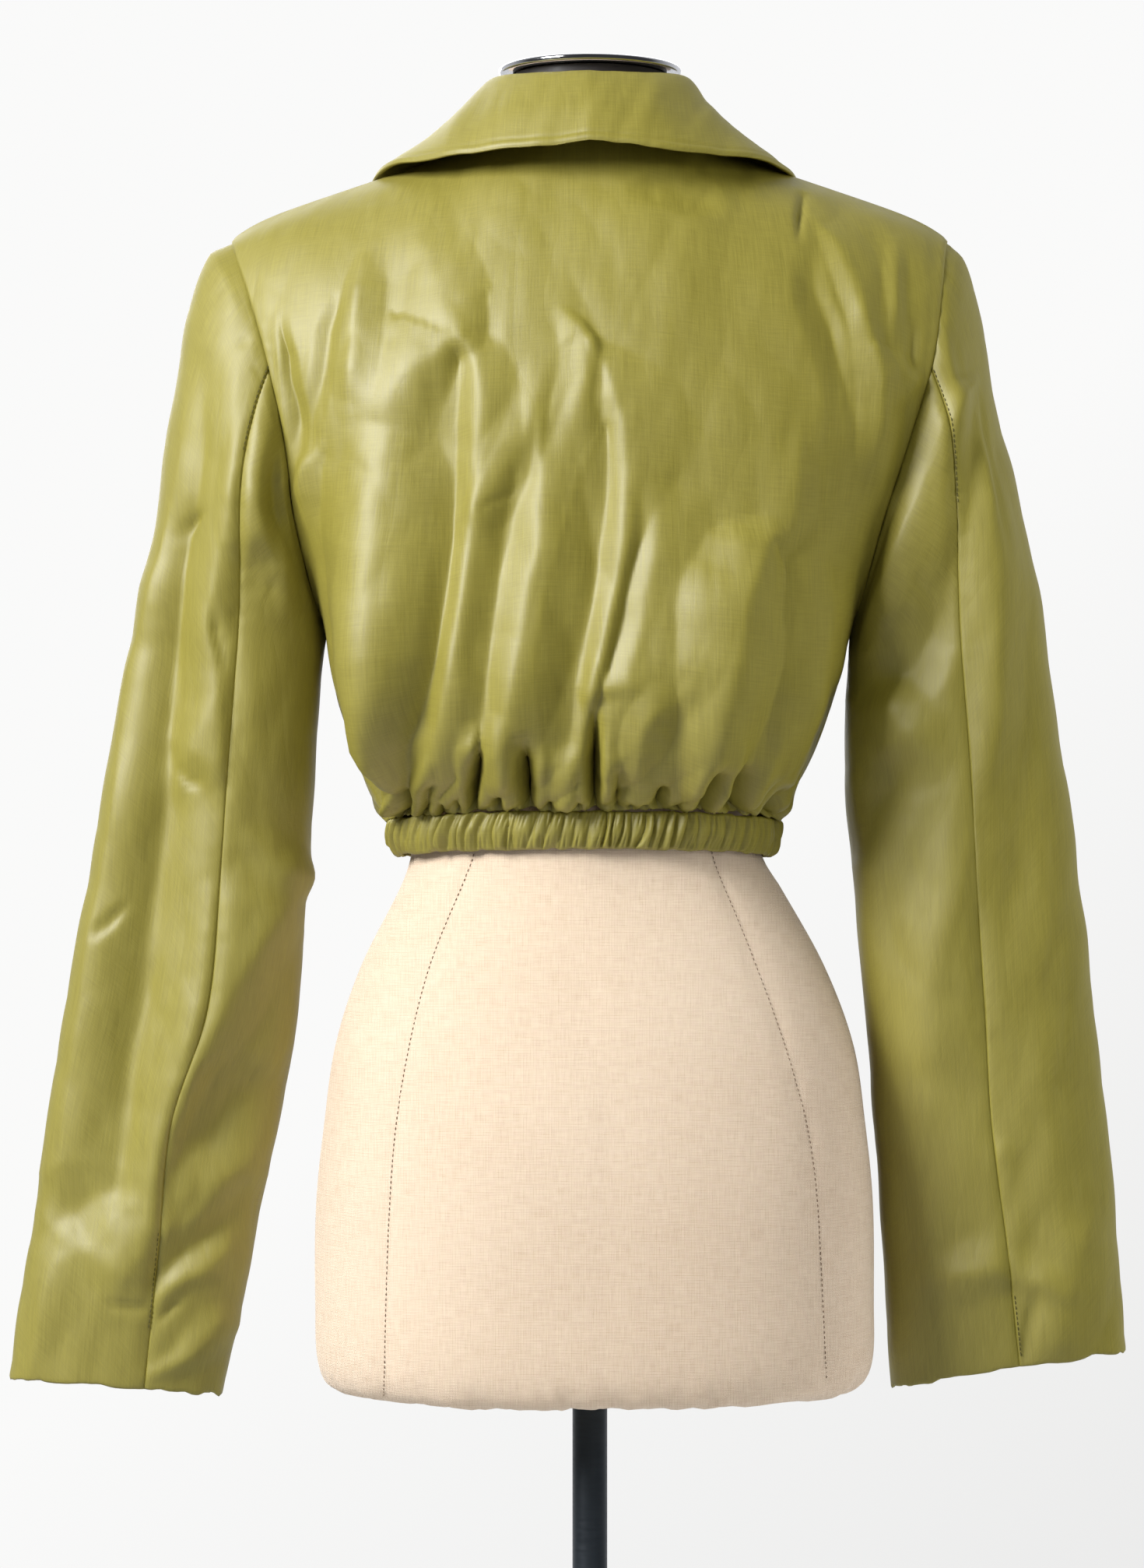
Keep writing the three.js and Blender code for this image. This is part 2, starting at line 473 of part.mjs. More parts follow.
// One half of the back or of both fronts: its rows as functions of across, band to top edge.
function makePanel(side, behind) {
  const table = behind ? BACK_ROWS : FRONT_ROWS;
  const roll = behind ? BACK_ROLL : FRONT_ROLL;
  const [depth, drop] = behind ? [NECK_DEPTH, BACK_NECK_DROP] : [-NECK_DEPTH, FRONT_NECK_DROP];
  const rows = table.map((row) => {
    const place = placeOf(row);
    const end = edgePoint(side, behind, place);
    return { place, point: (across) => rowPoint(row, end, across) };
  });
  const last = rows.at(-1);
  for (let k = 1; k <= ROLL_ROWS + 1; k += 1) {
    const share = k / (ROLL_ROWS + 1);
    const point = (across) => {
      const [from, to] = [last.point(across), topEdge(across, depth, drop)];
      const length = from.distanceTo(to);
      const leave = vector(...roll.leave).multiplyScalar(length);
      const towardsShoulder = smooth(across / NECK_SHARE);
      const arrive = vector(...roll.neck).lerp(vector(...roll.shoulder), towardsShoulder);
      return hermite(from, leave, to, arrive.multiplyScalar(length), share);
    };
    rows.push({ place: mix(last.place, 0.5, share), point });
  }
  return { side, behind, rows };
}

// The height share (up) at which a panel's rows end at a place, and the other way round.
function upOf({ rows }, place) {
  let i = 0;
  while (i < rows.length - 2 && place > rows[i + 1].place) i += 1;
  const share = (place - rows[i].place) / (rows[i + 1].place - rows[i].place);
  return (i + share) / (rows.length - 1);
}
function placeAt({ rows }, up) {
  const i = Math.min(Math.floor(up * (rows.length - 1)), rows.length - 2);
  return mix(rows[i].place, rows[i + 1].place, up * (rows.length - 1) - i);
}

// A point of the smooth body, without folds: up is 0 at the band and 1 at the top edge. Towards its
// side the panel is drawn onto the side seam and the armhole.
function bodyPoint(panel, across, up) {
  const raw = (a) => through((k) => panel.rows[k].point(a), panel.rows.length - 1, up);
  const miss = edgePoint(panel.side, panel.behind, placeAt(panel, up)).sub(raw(1));
  const p = raw(Math.abs(across)).addScaledVector(miss, Math.min(Math.abs(across), 1) ** 3);
  return across < 0 ? p.setX(-p.x) : p;
}

// The place across a panel where it passes x at a height.
function acrossAt(panel, up, x) {
  let [low, high] = [LEAST_ACROSS, 1];
  for (let k = 0; k < HALVINGS; k += 1) {
    const middle = (low + high) / 2;
    if (bodyPoint(panel, middle, up).x < x) low = middle;
    else high = middle;
  }
  return (low + high) / 2;
}

function normalOf(surface, u, v) {
  const step = NORMAL_STEP;
  const du = surface(clamp(u + step), v).sub(surface(clamp(u - step), v));
  const dv = surface(u, clamp(v + step)).sub(surface(u, clamp(v - step)));
  return du.cross(dv).normalize();
}

const facing = (normal, direction) =>
  normal.dot(vector(...direction)) < 0 ? normal.negate() : normal;

// The outward normal of the smooth panel.
const panelNormal = (panel, across, up) =>
  facing(
    normalOf((a, b) => bodyPoint(panel, a, b), Math.abs(across), up),
    [0, panel.behind ? 1 : -1, 0.3],
  );

for (const side of SIDES) {
  side.back = makePanel(side, true);
  side.front = makePanel(side, false);
}

// The body's normal at a place, the same for back and front where they meet.
function edgeNormal(side, behind, place) {
  const back = panelNormal(side.back, 1, upOf(side.back, place));
  const front = panelNormal(side.front, 1, upOf(side.front, place));
  const share = place < 0 ? 0.5 : 0.5 * (1 - smooth(Math.min(place, 0.5 - place) / CORNER_BLEND));
  return (behind ? back.lerp(front, share) : front.lerp(back, share)).normalize();
}

// The way a rim goes in where two walls meet: their shared mitre, or each its own normal where
// they fold sharply against each other.
function mitre(own, other) {
  const sum = own.clone().add(other).multiplyScalar(0.5);
  const size = sum.length();
  const shared = smooth((size - MITRE.sharp) / MITRE.span);
  return own.clone().lerp(sum.multiplyScalar(1 / Math.max(size * size, MITRE.least)), shared);
}

// ---------------------------------------------------------------- solid makers
// A closed geometry from vertices and triangles, turned outwards if it was inside out.
function closedGeometry(points, triangles) {
  let volume = 0;
  for (const [a, b, c] of triangles)
    volume += points[a].dot(points[b].clone().cross(points[c]));
  const turned = volume < 0 ? triangles.map(([a, b, c]) => [a, c, b]) : triangles;
  const geometry = new THREE.BufferGeometry();
  const flat = new Float32Array(points.flatMap((p) => [p.x, p.y, p.z]));
  geometry.setAttribute("position", new THREE.BufferAttribute(flat, 3));
  geometry.setIndex(turned.flat());
  geometry.computeVertexNormals();
  return geometry;
}

// A wall over the grid of all us and vs: surface(u, v) gives its outer points. The inner ones lie
// along the normals, or along way(u, v) on the border where a neighbour shares it. The edge is
// drawn in by half a gap.
function wall(surface, us, vs, thickness, { normal, way, innerPoint }) {
  const [across, up] = [us.length - 1, vs.length - 1];
  const outer = [];
  const inner = [];
  const at = (i, j) => i * (up + 1) + j;
  for (let i = 0; i <= across; i += 1)
    for (let j = 0; j <= up; j += 1) {
      const [u, v] = [us[i], vs[j]];
      const p = surface(u, v);
      outer.push(p);
      if (innerPoint) {
        inner.push(innerPoint(u, v));
        continue;
      }
      const border = i === 0 || j === 0 || i === across || j === up;
      const direction = (border && way && way(u, v)) || normal(u, v);
      inner.push(p.clone().addScaledVector(direction, -thickness));
    }
  for (const layer of [outer, inner]) {
    const kept = layer.map((p) => p.clone());
    const draw = (i, j, k, l) => {
      const along = kept[at(k, l)].clone().sub(kept[at(i, j)]).normalize();
      layer[at(i, j)].addScaledVector(along, SEAM_GAP / 2);
    };
    for (let j = 0; j <= up; j += 1) {
      draw(0, j, 1, j);
      draw(across, j, across - 1, j);
    }
    for (let i = 0; i <= across; i += 1) {
      draw(i, 0, i, 1);
      draw(i, up, i, up - 1);
    }
  }
  const count = outer.length;
  const triangles = [];
  const quad = (a, b, c, d) => triangles.push([a, b, c], [a, c, d]);
  for (let i = 0; i < across; i += 1)
    for (let j = 0; j < up; j += 1) {
      const [a, b, c, d] = [at(i, j), at(i + 1, j), at(i + 1, j + 1), at(i, j + 1)];
      quad(a, b, c, d);
      quad(count + a, count + d, count + c, count + b);
    }
  for (let i = 0; i < across; i += 1) {
    quad(at(i, 0), count + at(i, 0), count + at(i + 1, 0), at(i + 1, 0));
    quad(at(i + 1, up), count + at(i + 1, up), count + at(i, up), at(i, up));
  }
  for (let j = 0; j < up; j += 1) {
    quad(at(0, j + 1), count + at(0, j + 1), count + at(0, j), at(0, j));
    quad(at(across, j), count + at(across, j), count + at(across, j + 1), at(across, j + 1));
  }
  return closedGeometry([...outer, ...inner], triangles);
}

// A closed body through rings of points, with a flat end at each side.
function loft(rings) {
  const count = rings[0].length;
  const points = rings.flat();
  const triangles = [];
  for (let k = 0; k + 1 < rings.length; k += 1)
    for (let i = 0; i < count; i += 1) {
      const next = (i + 1) % count;
      const [a, b] = [k * count + i, k * count + next];
      triangles.push([a, b, b + count], [a, b + count, a + count]);
    }
  const middle = (ring) =>
    ring.reduce((sum, p) => sum.add(p), vector(0, 0, 0)).multiplyScalar(1 / count);
  const [low, high] = [points.length, points.length + 1];
  points.push(middle(rings[0]), middle(rings.at(-1)));
  const start = (rings.length - 1) * count;
  for (let i = 0; i < count; i += 1) {
    const next = (i + 1) % count;
    triangles.push([low, next, i], [high, start + i, start + next]);
  }
  return closedGeometry(points, triangles);
}

function turned(profile, segments) {
  const geometry = new THREE.LatheGeometry(
    profile.map(([radius, z]) => new THREE.Vector2(radius, z)),
    segments,
  );
  return geometry.rotateX(Math.PI / 2); // the lathe turns about +Y, the part stands on +Z
}

// ---------------------------------------------------------------- materials
const cloth = new THREE.MeshStandardMaterial({ color: "#a39a5b", roughness: 0.45 });
const linen = new THREE.MeshStandardMaterial({ color: "#e0cbb3", roughness: 0.9 });
const chrome = new THREE.MeshStandardMaterial({ color: "#c9cbce", roughness: 0.15, metalness: 1 });
const blackMetal = new THREE.MeshStandardMaterial({ color: "#33373c", roughness: 0.35, metalness: 0.6 });
const horn = new THREE.MeshStandardMaterial({ color: "#7d7642", roughness: 0.3 });

const part = new THREE.Group();
function add(name, geometry, material) {
  const mesh = new THREE.Mesh(geometry, material);
  mesh.name = name;
  part.add(mesh);
  return mesh;
}

// ---------------------------------------------------------------- back and fronts
function liftBack(x, z) {
  let lift = 0;
  for (const fold of BACK_FOLDS) lift += foldAt(fold, fold.x, x, z);
  for (const gather of BACK_GATHERS) lift += gatherAt(gather, x, z);
  return lift;
}

// Folds die out towards the seams, so that two pieces keep meeting there.
const atRest = (across, up) =>
  smooth((1 - Math.abs(across)) / FOLD_REST.side) * smooth((1 - up) / FOLD_REST.top);

// The way in at a panel's side, or along its shoulder seam.
function panelWay(panel, across, up) {
  const { side, behind } = panel;
  if (across > 1 - AT_EDGE) {
    const place = placeAt(panel, up);
    const own = edgeNormal(side, behind, place);
    return place > 0 ? mitre(own, sleeveNormal(side, [], behind ? place : 1 - place, 0)) : own;
  }
  if (up < 1 - AT_EDGE || across < NECK_SHARE - AT_EDGE) return null;
  return panelNormal(side.back, across, 1).add(panelNormal(side.front, across, 1)).normalize();
}

function backSurface(across, up) {
  const side = across < 0 ? RIGHT : LEFT;
  const p = placed(side, bodyPoint(side.back, Math.abs(across), up));
  const normal = placed(side, panelNormal(side.back, Math.abs(across), up));
  return p.addScaledVector(normal, liftBack(p.x, p.z) * atRest(across, up));
}

function backWall() {
  const half = [
    ...steps(0, NECK_SHARE, NECK_CELLS),
    ...steps(NECK_SHARE, 1, SHOULDER_CELLS).slice(1),
  ];
  const us = [...half.slice(1).reverse().map((across) => -across), ...half];
  const vs = [...SIDE_PLACES, ...BACK_PLACES].map((place) => upOf(LEFT.back, place));
  const whole = (u, v) => backSurface(mix(-1, 1, u), v);
  const normal = (across, v) => facing(normalOf(whole, (across + 1) / 2, v), [0, 1, 0.3]);
  const way = (across, v) => {
    const side = across < 0 ? RIGHT : LEFT;
    const found = panelWay(side.back, Math.abs(across), v);
    return found && placed(side, found);
  };
  return wall(backSurface, us, vs, CLOTH, { normal, way });
}

// How far a front stands out where it laps over the other one.
const overlapAt = (side, x, up) =>
  side.lift *
  (1 - smooth((x - FRONT_OVERLAP) / OVERLAP_FADE.across)) *
  smooth((OVERLAP_FADE.up - up) / OVERLAP_FADE.over);
const level = (normal) => normal.clone().setZ(0).normalize();

// A front: u is 0 at the front edge and 1 at the side seam or armhole.
function frontAcross(side, u, v) {
  const z = bodyPoint(side.front, 0, v).z;
  return mix(acrossAt(side.front, v, between(FRONT_EDGE, "z", z, "x")), 1, u);
}

function frontSurface(side, u, v) {
  const across = frontAcross(side, u, v);
  const p = bodyPoint(side.front, across, v);
  const normal = panelNormal(side.front, across, v);
  let out = 0;
  for (const fold of FRONT_FOLDS) out += foldAt(fold, fold.x, p.x, p.z);
  for (const gather of FRONT_GATHERS) out += gatherAt(gather, p.x, p.z);
  const over = overlapAt(side, p.x, v);
  return p.addScaledVector(normal, out * atRest(across, v)).addScaledVector(level(normal), over);
}

function frontWall(side) {
  const surface = (u, v) => frontSurface(side, u, v);
  const normal = (u, v) => placed(side, facing(normalOf(surface, u, v), [0.2, -1, 0.3]));
  const way = (u, v) => {
    const found = panelWay(side.front, frontAcross(side, u, v), v);
    return found && placed(side, found);
  };
  const vs = [...SIDE_PLACES, ...FRONT_PLACES].map((place) => upOf(side.front, place));
  const us = steps(0, 1, SHOULDER_CELLS);
  return wall((u, v) => placed(side, surface(u, v)), us, vs, CLOTH, { normal, way });
}

// ---------------------------------------------------------------- sleeves
const columnAt = (table, z, name) =>
  between(table.map((row) => ({ ...row, down: -row.z })), "down", -z, name);

function sleeveRing(table, z, at) {
  const column = (name) => columnAt(table, z, name);
  const turn = 2 * Math.PI * at + radians(column("turn"));
  const x = -column("width") * Math.cos(turn);
  const y = column("depth") * Math.sin(turn);
  const rise = column("slope") * x + column("tip") * y;
  return vector(column("x") + x, column("y") + y, z + rise);
}

const wholeTurn = (at) => ((at % 1) + 1) % 1;
const topness = (at) => ((1 - Math.cos(2 * Math.PI * at)) / 2) ** SLEEVE_LEAVES.bend;

// The body's normal where the sleeve is sewn in.
function bodyNormalAt(side, at) {
  const round = wholeTurn(at);
  return edgeNormal(side, round < 0.5, Math.min(round, 1 - round));
}

// The sleeve's outer surface: at goes round from under the arm, down from the armhole to the cuff.
function sleevePoint(side, folds, at, down) {
  const table = side.sleeve;
  const full = table[0].z;
  const cuff = table.at(-1).z;
  let p;
  if (down < CAP_SHARE) {
    const capEnd = sleeveRing(table, full, at);
    const underArm = 1 - smooth(topness(at) / UNDER_ARM);
    const from = armhole(side, wholeTurn(at));
    from.addScaledVector(bodyNormalAt(side, at), SEAM_GAP * underArm);
    const length = from.distanceTo(capEnd);
    const leave = vector(...SLEEVE_LEAVES.under)
      .lerp(vector(...SLEEVE_LEAVES.top), topness(at))
      .add(vector(0, SLEEVE_LEAVES.swell * Math.sin(2 * Math.PI * at), 0))
      .multiplyScalar(length);
    const step = 20;
    const arrive = sleeveRing(table, full - step, at)
      .sub(capEnd)
      .multiplyScalar(length / step);
    p = hermite(from, leave, capEnd, arrive, down / CAP_SHARE);
  } else {
    p = sleeveRing(table, mix(full, cuff, (down - CAP_SHARE) / (1 - CAP_SHARE)), at);
  }
  const out = level(p.clone().sub(vector(columnAt(table, p.z, "x"), 0, 0)));
  let lift = 0;
  for (const fold of folds) lift += foldAt(fold, fold.around, wholeTurn(at), p.z);
  const [fromTop, fromCuff] = [down / SLEEVE_FOLD_REST.armhole, (1 - down) / SLEEVE_FOLD_REST.cuff];
  return p.addScaledVector(out, lift * smooth(fromTop) * smooth(fromCuff));
}

function sleeveNormal(side, folds, at, down) {
  const step = NORMAL_STEP;
  const p = (a, b) => sleevePoint(side, folds, a, clamp(b));
  const round = p(at + step, down).sub(p(at - step, down));
  const along = p(at, down + step).sub(p(at, down - step));
  return round.cross(along).normalize();
}

function sleeveWall(side, places) {
  const surface = (at, down) => placed(side, sleevePoint(side, side.folds, at, down));
  const normal = (at, down) => placed(side, sleeveNormal(side, side.folds, at, down));
  const way = (at, down) => {
    if (down > AT_EDGE) return null;
    return placed(side, mitre(sleeveNormal(side, [], at, 0), bodyNormalAt(side, at)));
  };
  return wall(surface, places, steps(0, 1, SLEEVE_ROWS), CLOTH, { normal, way });
}

const backHalf = (from, to) => BACK_PLACES.filter((place) => place >= from && place <= to);
const frontHalf = (from, to) =>
  FRONT_PLACES.filter((place) => place >= from && place <= to).map((place) => -place);
const TOP_SLEEVE_PLACES = [
  ...backHalf(SLEEVE_BACK_SEAM, 0.5),
  ...frontHalf(SLEEVE_FRONT_SEAM, 0.49).reverse().map((place) => 1 + place),
];
const UNDER_SLEEVE_PLACES = [
  ...frontHalf(0.01, SLEEVE_FRONT_SEAM).reverse(),
  ...backHalf(0, SLEEVE_BACK_SEAM),
];

// ---------------------------------------------------------------- collar and lapels
// A point of the front at a place and height as seen from the front, standing off by so much.
function onFront(side, [x, z], stand) {
  const column = (up) => bodyPoint(side.front, acrossAt(side.front, up, x), up);
  let [low, high] = [0, 1];
  for (let k = 0; k < HALVINGS; k += 1) {
    const middle = (low + high) / 2;
    if (column(middle).z < z) low = middle;
    else high = middle;
  }
  const up = (low + high) / 2;
  const across = acrossAt(side.front, up, x);
  const p = bodyPoint(side.front, across, up);
  const normal = panelNormal(side.front, across, up);
  const over = overlapAt(side, p.x, up);
  return p.addScaledVector(normal, stand).addScaledVector(level(normal), over);
}

const COLLAR_LINES = ["seam", "roll", "middle", "edge"];
function collarRow(side, row) {
  return COLLAR_LINES.map((name) => {
    if (name === "seam" && row.turn !== undefined)
      return neckline(radians(row.turn), NECK_DEPTH, BACK_NECK_DROP).add(vector(0, 0, SEAM_GAP));
    const [x, y, z] = row[name];
    const fall = name === "middle" || name === "edge";
    return vector(fall ? x * side.spread : x, y, z);
  });
}
for (const side of SIDES)
  side.collar = [
    ...COLLAR.map((row) => collarRow(side, row)),
    COLLAR_LINES.map((name) => onFront(side, COLLAR_END[name], COLLAR_STANDS)),
  ];

function collarSurface(u, v) {
  const along = mix(-1, 1, u);
  const side = along < 0 ? RIGHT : LEFT;
  const rows = side.collar;
  const line = (k) => through((i) => rows[i][k], rows.length - 1, Math.abs(along));
  const last = COLLAR_LINES.length - 1;
  const k = Math.min(Math.floor(v * last), last - 1);
  const straight = line(k).lerp(line(k + 1), v * last - k);
  const cornered = smooth((Math.abs(along) - 1 + COLLAR_END_SHARE) / COLLAR_END_SHARE);
  return placed(side, through(line, last, v).lerp(straight, cornered));
}

function collarWall() {
  const [along, across] = COLLAR_CELLS;
  const normal = (u, v) => normalOf(collarSurface, u, v).negate();
  return wall(collarSurface, steps(0, 1, along), steps(0, 1, across), COLLAR_CLOTH, { normal });
}

function lapelWall(side) {
  const rollAt = ({ z }) => {
    const edge = between(FRONT_EDGE, "z", z, "x");
    const own = edge - LAPEL_ROLL_OUT;
    return vector(side.lift > 0 ? own : Math.max(own, LEFT_LAPEL_CLEAR - edge), 0, z);
  };
  const edgeAt = ({ edge }) => vector(edge[0], 0, edge[1]);
  const surface = (u, v) => {
    const line = (pointOf) => through((k) => pointOf(LAPEL[k]), LAPEL.length - 1, v);
    const flat = line(rollAt).lerp(line(edgeAt), u);
    return placed(side, onFront(side, [flat.x, flat.z], LAPEL_LIFT));
  };
  const normal = (u, v) => facing(normalOf(surface, u, v), [0, -1, 0.2]);
  const [across, up] = LAPEL_CELLS;
  const start = side.lift > 0 ? 0 : LEFT_LAPEL_START;
  return wall(surface, steps(0, 1, across), steps(start, 1, up), COLLAR_CLOTH, { normal });
}

// ---------------------------------------------------------------- the gathered band
// The band's base line: turn is 0 at the centre back, a quarter at the wearer's left, a half at the
// front. It follows the lower edge of the panels.
function bandBase(turn, v) {
  const side = turn < 0 ? RIGHT : LEFT;
  const quarters = Math.abs(turn) * 4;
  const p =
    quarters < 1 ? bodyPoint(side.back, quarters, 0) : bodyPoint(side.front, 2 - quarters, 0);
  p.z -= BAND_JOIN + BAND_HEIGHT * (1 - v);
  return p.addScaledVector(level(p), overlapAt(side, p.x, 0) - BAND_SNUG * (1 - v));
}

// The band between two places round the waist. A front band runs out flat at its end.
function bandWall(from, to, gathers, atFront) {
  const flatness = (u) => (atFront ? smooth((u - 1 + 2 * BAND_FLAT) / BAND_FLAT) : 0);
  const point = (u, v, out) => {
    const turn = mix(from, to, u);
    const base = bandBase(turn, v);
    return placed(turn < 0 ? RIGHT : LEFT, base.addScaledVector(level(base), out));
  };
  const surface = (u, v) => {
    const phase = Math.round(u * gathers * BAND_RIPPLE_STEPS.length) % BAND_RIPPLE_STEPS.length;
    const uneven = 1 - BAND_UNEVEN + BAND_UNEVEN * Math.sin(u * gathers);
    const ripple = BAND_RIPPLE_STEPS[phase] * uneven;
    const bulge = Math.sin(Math.PI * v);
    const fuller = BAND_PUFF * bulge + BAND_RIPPLE * ripple * mix(BAND_EDGE_RIPPLE, 1, bulge);
    return point(u, v, fuller * (1 - flatness(u)));
  };
  const innerPoint = (u, v) => point(u, v, -BAND_CLOTH);
  const us = steps(0, 1, gathers * BAND_RIPPLE_STEPS.length);
  return wall(surface, us, steps(0, 1, 2), BAND_CLOTH, { innerPoint });
}

// A round button with four holes, standing upright on the front, facing -Y.
function buttonGeometry() {
  const shape = new THREE.Shape();
  shape.absarc(0, 0, BUTTON.radius, 0, 2 * Math.PI);
  for (const [x, y] of [[1, 1], [1, -1], [-1, 1], [-1, -1]]) {
    const hole = new THREE.Path();
    hole.absarc(x * BUTTON.holeSpread, y * BUTTON.holeSpread, BUTTON.hole, 0, 2 * Math.PI);
    shape.holes.push(hole);
  }
  return new THREE.ExtrudeGeometry(shape, {
    depth: BUTTON.thickness,
    bevelEnabled: false,
    curveSegments: ROUNDNESS.button,
  }).rotateX(Math.PI / 2);
}

// ---------------------------------------------------------------- assemble the blazer
add("back_panel", backWall(), cloth);
for (const side of SIDES) {
  add(`front_${side.name}`, frontWall(side), cloth);
  add(`lapel_${side.name}`, lapelWall(side), cloth);
  add(`top_sleeve_${side.name}`, sleeveWall(side, TOP_SLEEVE_PLACES), cloth);
  add(`under_sleeve_${side.name}`, sleeveWall(side, UNDER_SLEEVE_PLACES), cloth);
}
add("collar", collarWall(), cloth);
add("waistband_back", bandWall(-0.25, 0.25, BAND_GATHERS_BACK, false), cloth);
add("waistband_left", bandWall(0.25, BAND_END, BAND_GATHERS_FRONT, true), cloth);
add("waistband_right", bandWall(-0.25, -BAND_END, BAND_GATHERS_FRONT, true), cloth);

const frontAt = (z) => onFront(RIGHT, [0, z], BUTTON_STANDS).y;
const bandFront = bandBase(-0.5, 0.5).y - BUTTON_STANDS;
add("button_break", buttonGeometry().translate(0, frontAt(BUTTON_BREAK_Z), BUTTON_BREAK_Z), horn);
add("button_band", buttonGeometry().translate(0, bandFront, bandBase(-0.5, 0.5).z), horn);

// ---------------------------------------------------------------- the dress form and its stand
function formRing(row) {
  const count = FORM_CORNERS;
  return Array.from({ length: count }, (_, i) => {
    const angle = (2 * Math.PI * i) / count;
    const [s, c] = [Math.sin(angle), Math.cos(angle)];
    const round = (value) => Math.sign(value) * Math.abs(value) ** (2 / row.square);
    return vector(row.x + row.side * round(s), (c > 0 ? row.back : row.front) * round(c), row.z);
  });
}
add("form_body", loft(FORM.map(formRing)), linen);
add(
  "neck_ring",
  turned(
    [
      [0, NECK_RING.low],
      [NECK_RING.radius, NECK_RING.low],
      [NECK_RING.radius, NECK_RING.high],
      [0, NECK_RING.high],
    ],
    ROUNDNESS.ring,
  ),
  blackMetal,
);
add(
  "neck_cap",
  turned(
    [
      [0, NECK_CAP.low],
      [NECK_CAP.radius - NECK_CAP.edge, NECK_CAP.low],
      [NECK_CAP.radius, NECK_CAP.low + NECK_CAP.edge],
      [NECK_CAP.radius, NECK_CAP.high - NECK_CAP.edge],
      [NECK_CAP.radius - NECK_CAP.edge, NECK_CAP.high],
      [0, NECK_CAP.high],
    ],
    ROUNDNESS.cap,
  ),
  chrome,
);
add(
  "pole",
  turned(
    [
      [0, BASE.thickness + TOUCH],
      [POLE_RADIUS, BASE.thickness + TOUCH],
      [POLE_RADIUS, FORM[0].z - TOUCH],
      [0, FORM[0].z - TOUCH],
    ],
    ROUNDNESS.pole,
  ),
  blackMetal,
);
const socketFoot = BASE.thickness + TOUCH;
add(
  "pole_socket",
  turned(
    [
      [POLE_RADIUS + TOUCH, socketFoot],
      [SOCKET.radius, socketFoot],
      [SOCKET.radius, socketFoot + SOCKET.height - SOCKET.edge],
      [SOCKET.radius - SOCKET.edge, socketFoot + SOCKET.height],
      [POLE_RADIUS + TOUCH, socketFoot + SOCKET.height],
      [POLE_RADIUS + TOUCH, socketFoot],
    ],
    ROUNDNESS.pole,
  ),
  blackMetal,
);
add(
  "base_plate",
  turned(
    [
      [0, 0],
      [BASE.radius, 0],
      [BASE.radius, BASE.thickness - BASE.edge],
      [BASE.radius - BASE.edge, BASE.thickness],
      [0, BASE.thickness],
    ],
    ROUNDNESS.base,
  ),
  blackMetal,
);

export default part;
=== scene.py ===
# %% [markdown]
# # A cropped blazer on a dress form
#
# This lesson dresses a ready frame: the plain solids of a cropped blazer, the dress form that
# wears it, and the stand. Blender gives them what plain solids lack: cloth with folds and
# gathers, pressed seams and stitches, woven linen, chrome and painted steel.
# Every number below is in millimetres on the same axes as the frame. +Z is up, the blazer's
# back faces +Y, and +X is the wearer's left. A helper turns them into metres at the end.

import math

import bmesh
import bpy
import numpy as np
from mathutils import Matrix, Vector
from mathutils.bvhtree import BVHTree


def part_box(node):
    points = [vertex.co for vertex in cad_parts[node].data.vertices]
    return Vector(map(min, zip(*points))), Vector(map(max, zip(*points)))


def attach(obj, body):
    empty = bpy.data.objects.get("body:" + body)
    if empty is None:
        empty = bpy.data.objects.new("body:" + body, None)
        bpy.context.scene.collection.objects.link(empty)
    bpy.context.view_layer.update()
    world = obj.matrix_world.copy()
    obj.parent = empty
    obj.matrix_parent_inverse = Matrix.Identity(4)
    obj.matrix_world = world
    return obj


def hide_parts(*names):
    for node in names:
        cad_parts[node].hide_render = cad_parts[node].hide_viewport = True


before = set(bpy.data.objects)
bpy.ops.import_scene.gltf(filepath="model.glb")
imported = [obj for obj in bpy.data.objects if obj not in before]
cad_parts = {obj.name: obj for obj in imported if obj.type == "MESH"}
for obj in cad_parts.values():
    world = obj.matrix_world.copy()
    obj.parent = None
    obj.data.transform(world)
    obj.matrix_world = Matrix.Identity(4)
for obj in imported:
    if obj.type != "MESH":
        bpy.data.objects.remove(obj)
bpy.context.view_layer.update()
MM = 0.001

# %% [markdown]
# ## Camera
# The blazer is seen square from behind, from waist height, 2.73 m away. A long lens keeps the
# sleeves from spreading. The lens is shifted a little instead of tilting the camera, so upright
# lines such as the pole stay upright.

# %% Camera
def added(name, data):
    """A new object in the scene."""
    made = bpy.data.objects.new(name, data)
    bpy.context.scene.collection.objects.link(made)
    return made


VIEW_DISTANCE = 2730.0
VIEW_HEIGHT = 1040.0
lens = bpy.data.cameras.new("portrait_lens")
lens.sensor_fit = "VERTICAL"
lens.sensor_height = 36
lens.lens = 104.94
lens.shift_x = -0.0114
lens.shift_y = 0.0501
camera = added("camera_behind", lens)
camera.location = (0, VIEW_DISTANCE * MM, VIEW_HEIGHT * MM)
camera.rotation_euler = (math.radians(90), 0, math.radians(180))
bpy.context.scene.camera = camera
print("camera stands at", tuple(round(c, 2) for c in camera.location))

# %% [markdown]
# ## Curves through short tables
# A pattern maker keeps a garment as a few measured rows and fairs a smooth curve through them.
# `between` does that for one column of a table, and `through` for rows of points in space.

# %% Curves
def smooth(t):
    t = np.clip(t, 0.0, 1.0)
    return t * t * (3 - 2 * t)


def mix(a, b, t):
    return a + (b - a) * t


def table(columns, *rows):
    return {name: np.array(column, float) for name, column in zip(columns.split(), zip(*rows))}


def hermite(a, leave, b, arrive, t):
    t2, t3 = t * t, t * t * t
    return a * (2 * t3 - 3 * t2 + 1) + leave * (t3 - 2 * t2 + t) + b * (3 * t2 - 2 * t3) + arrive * (t3 - t2)


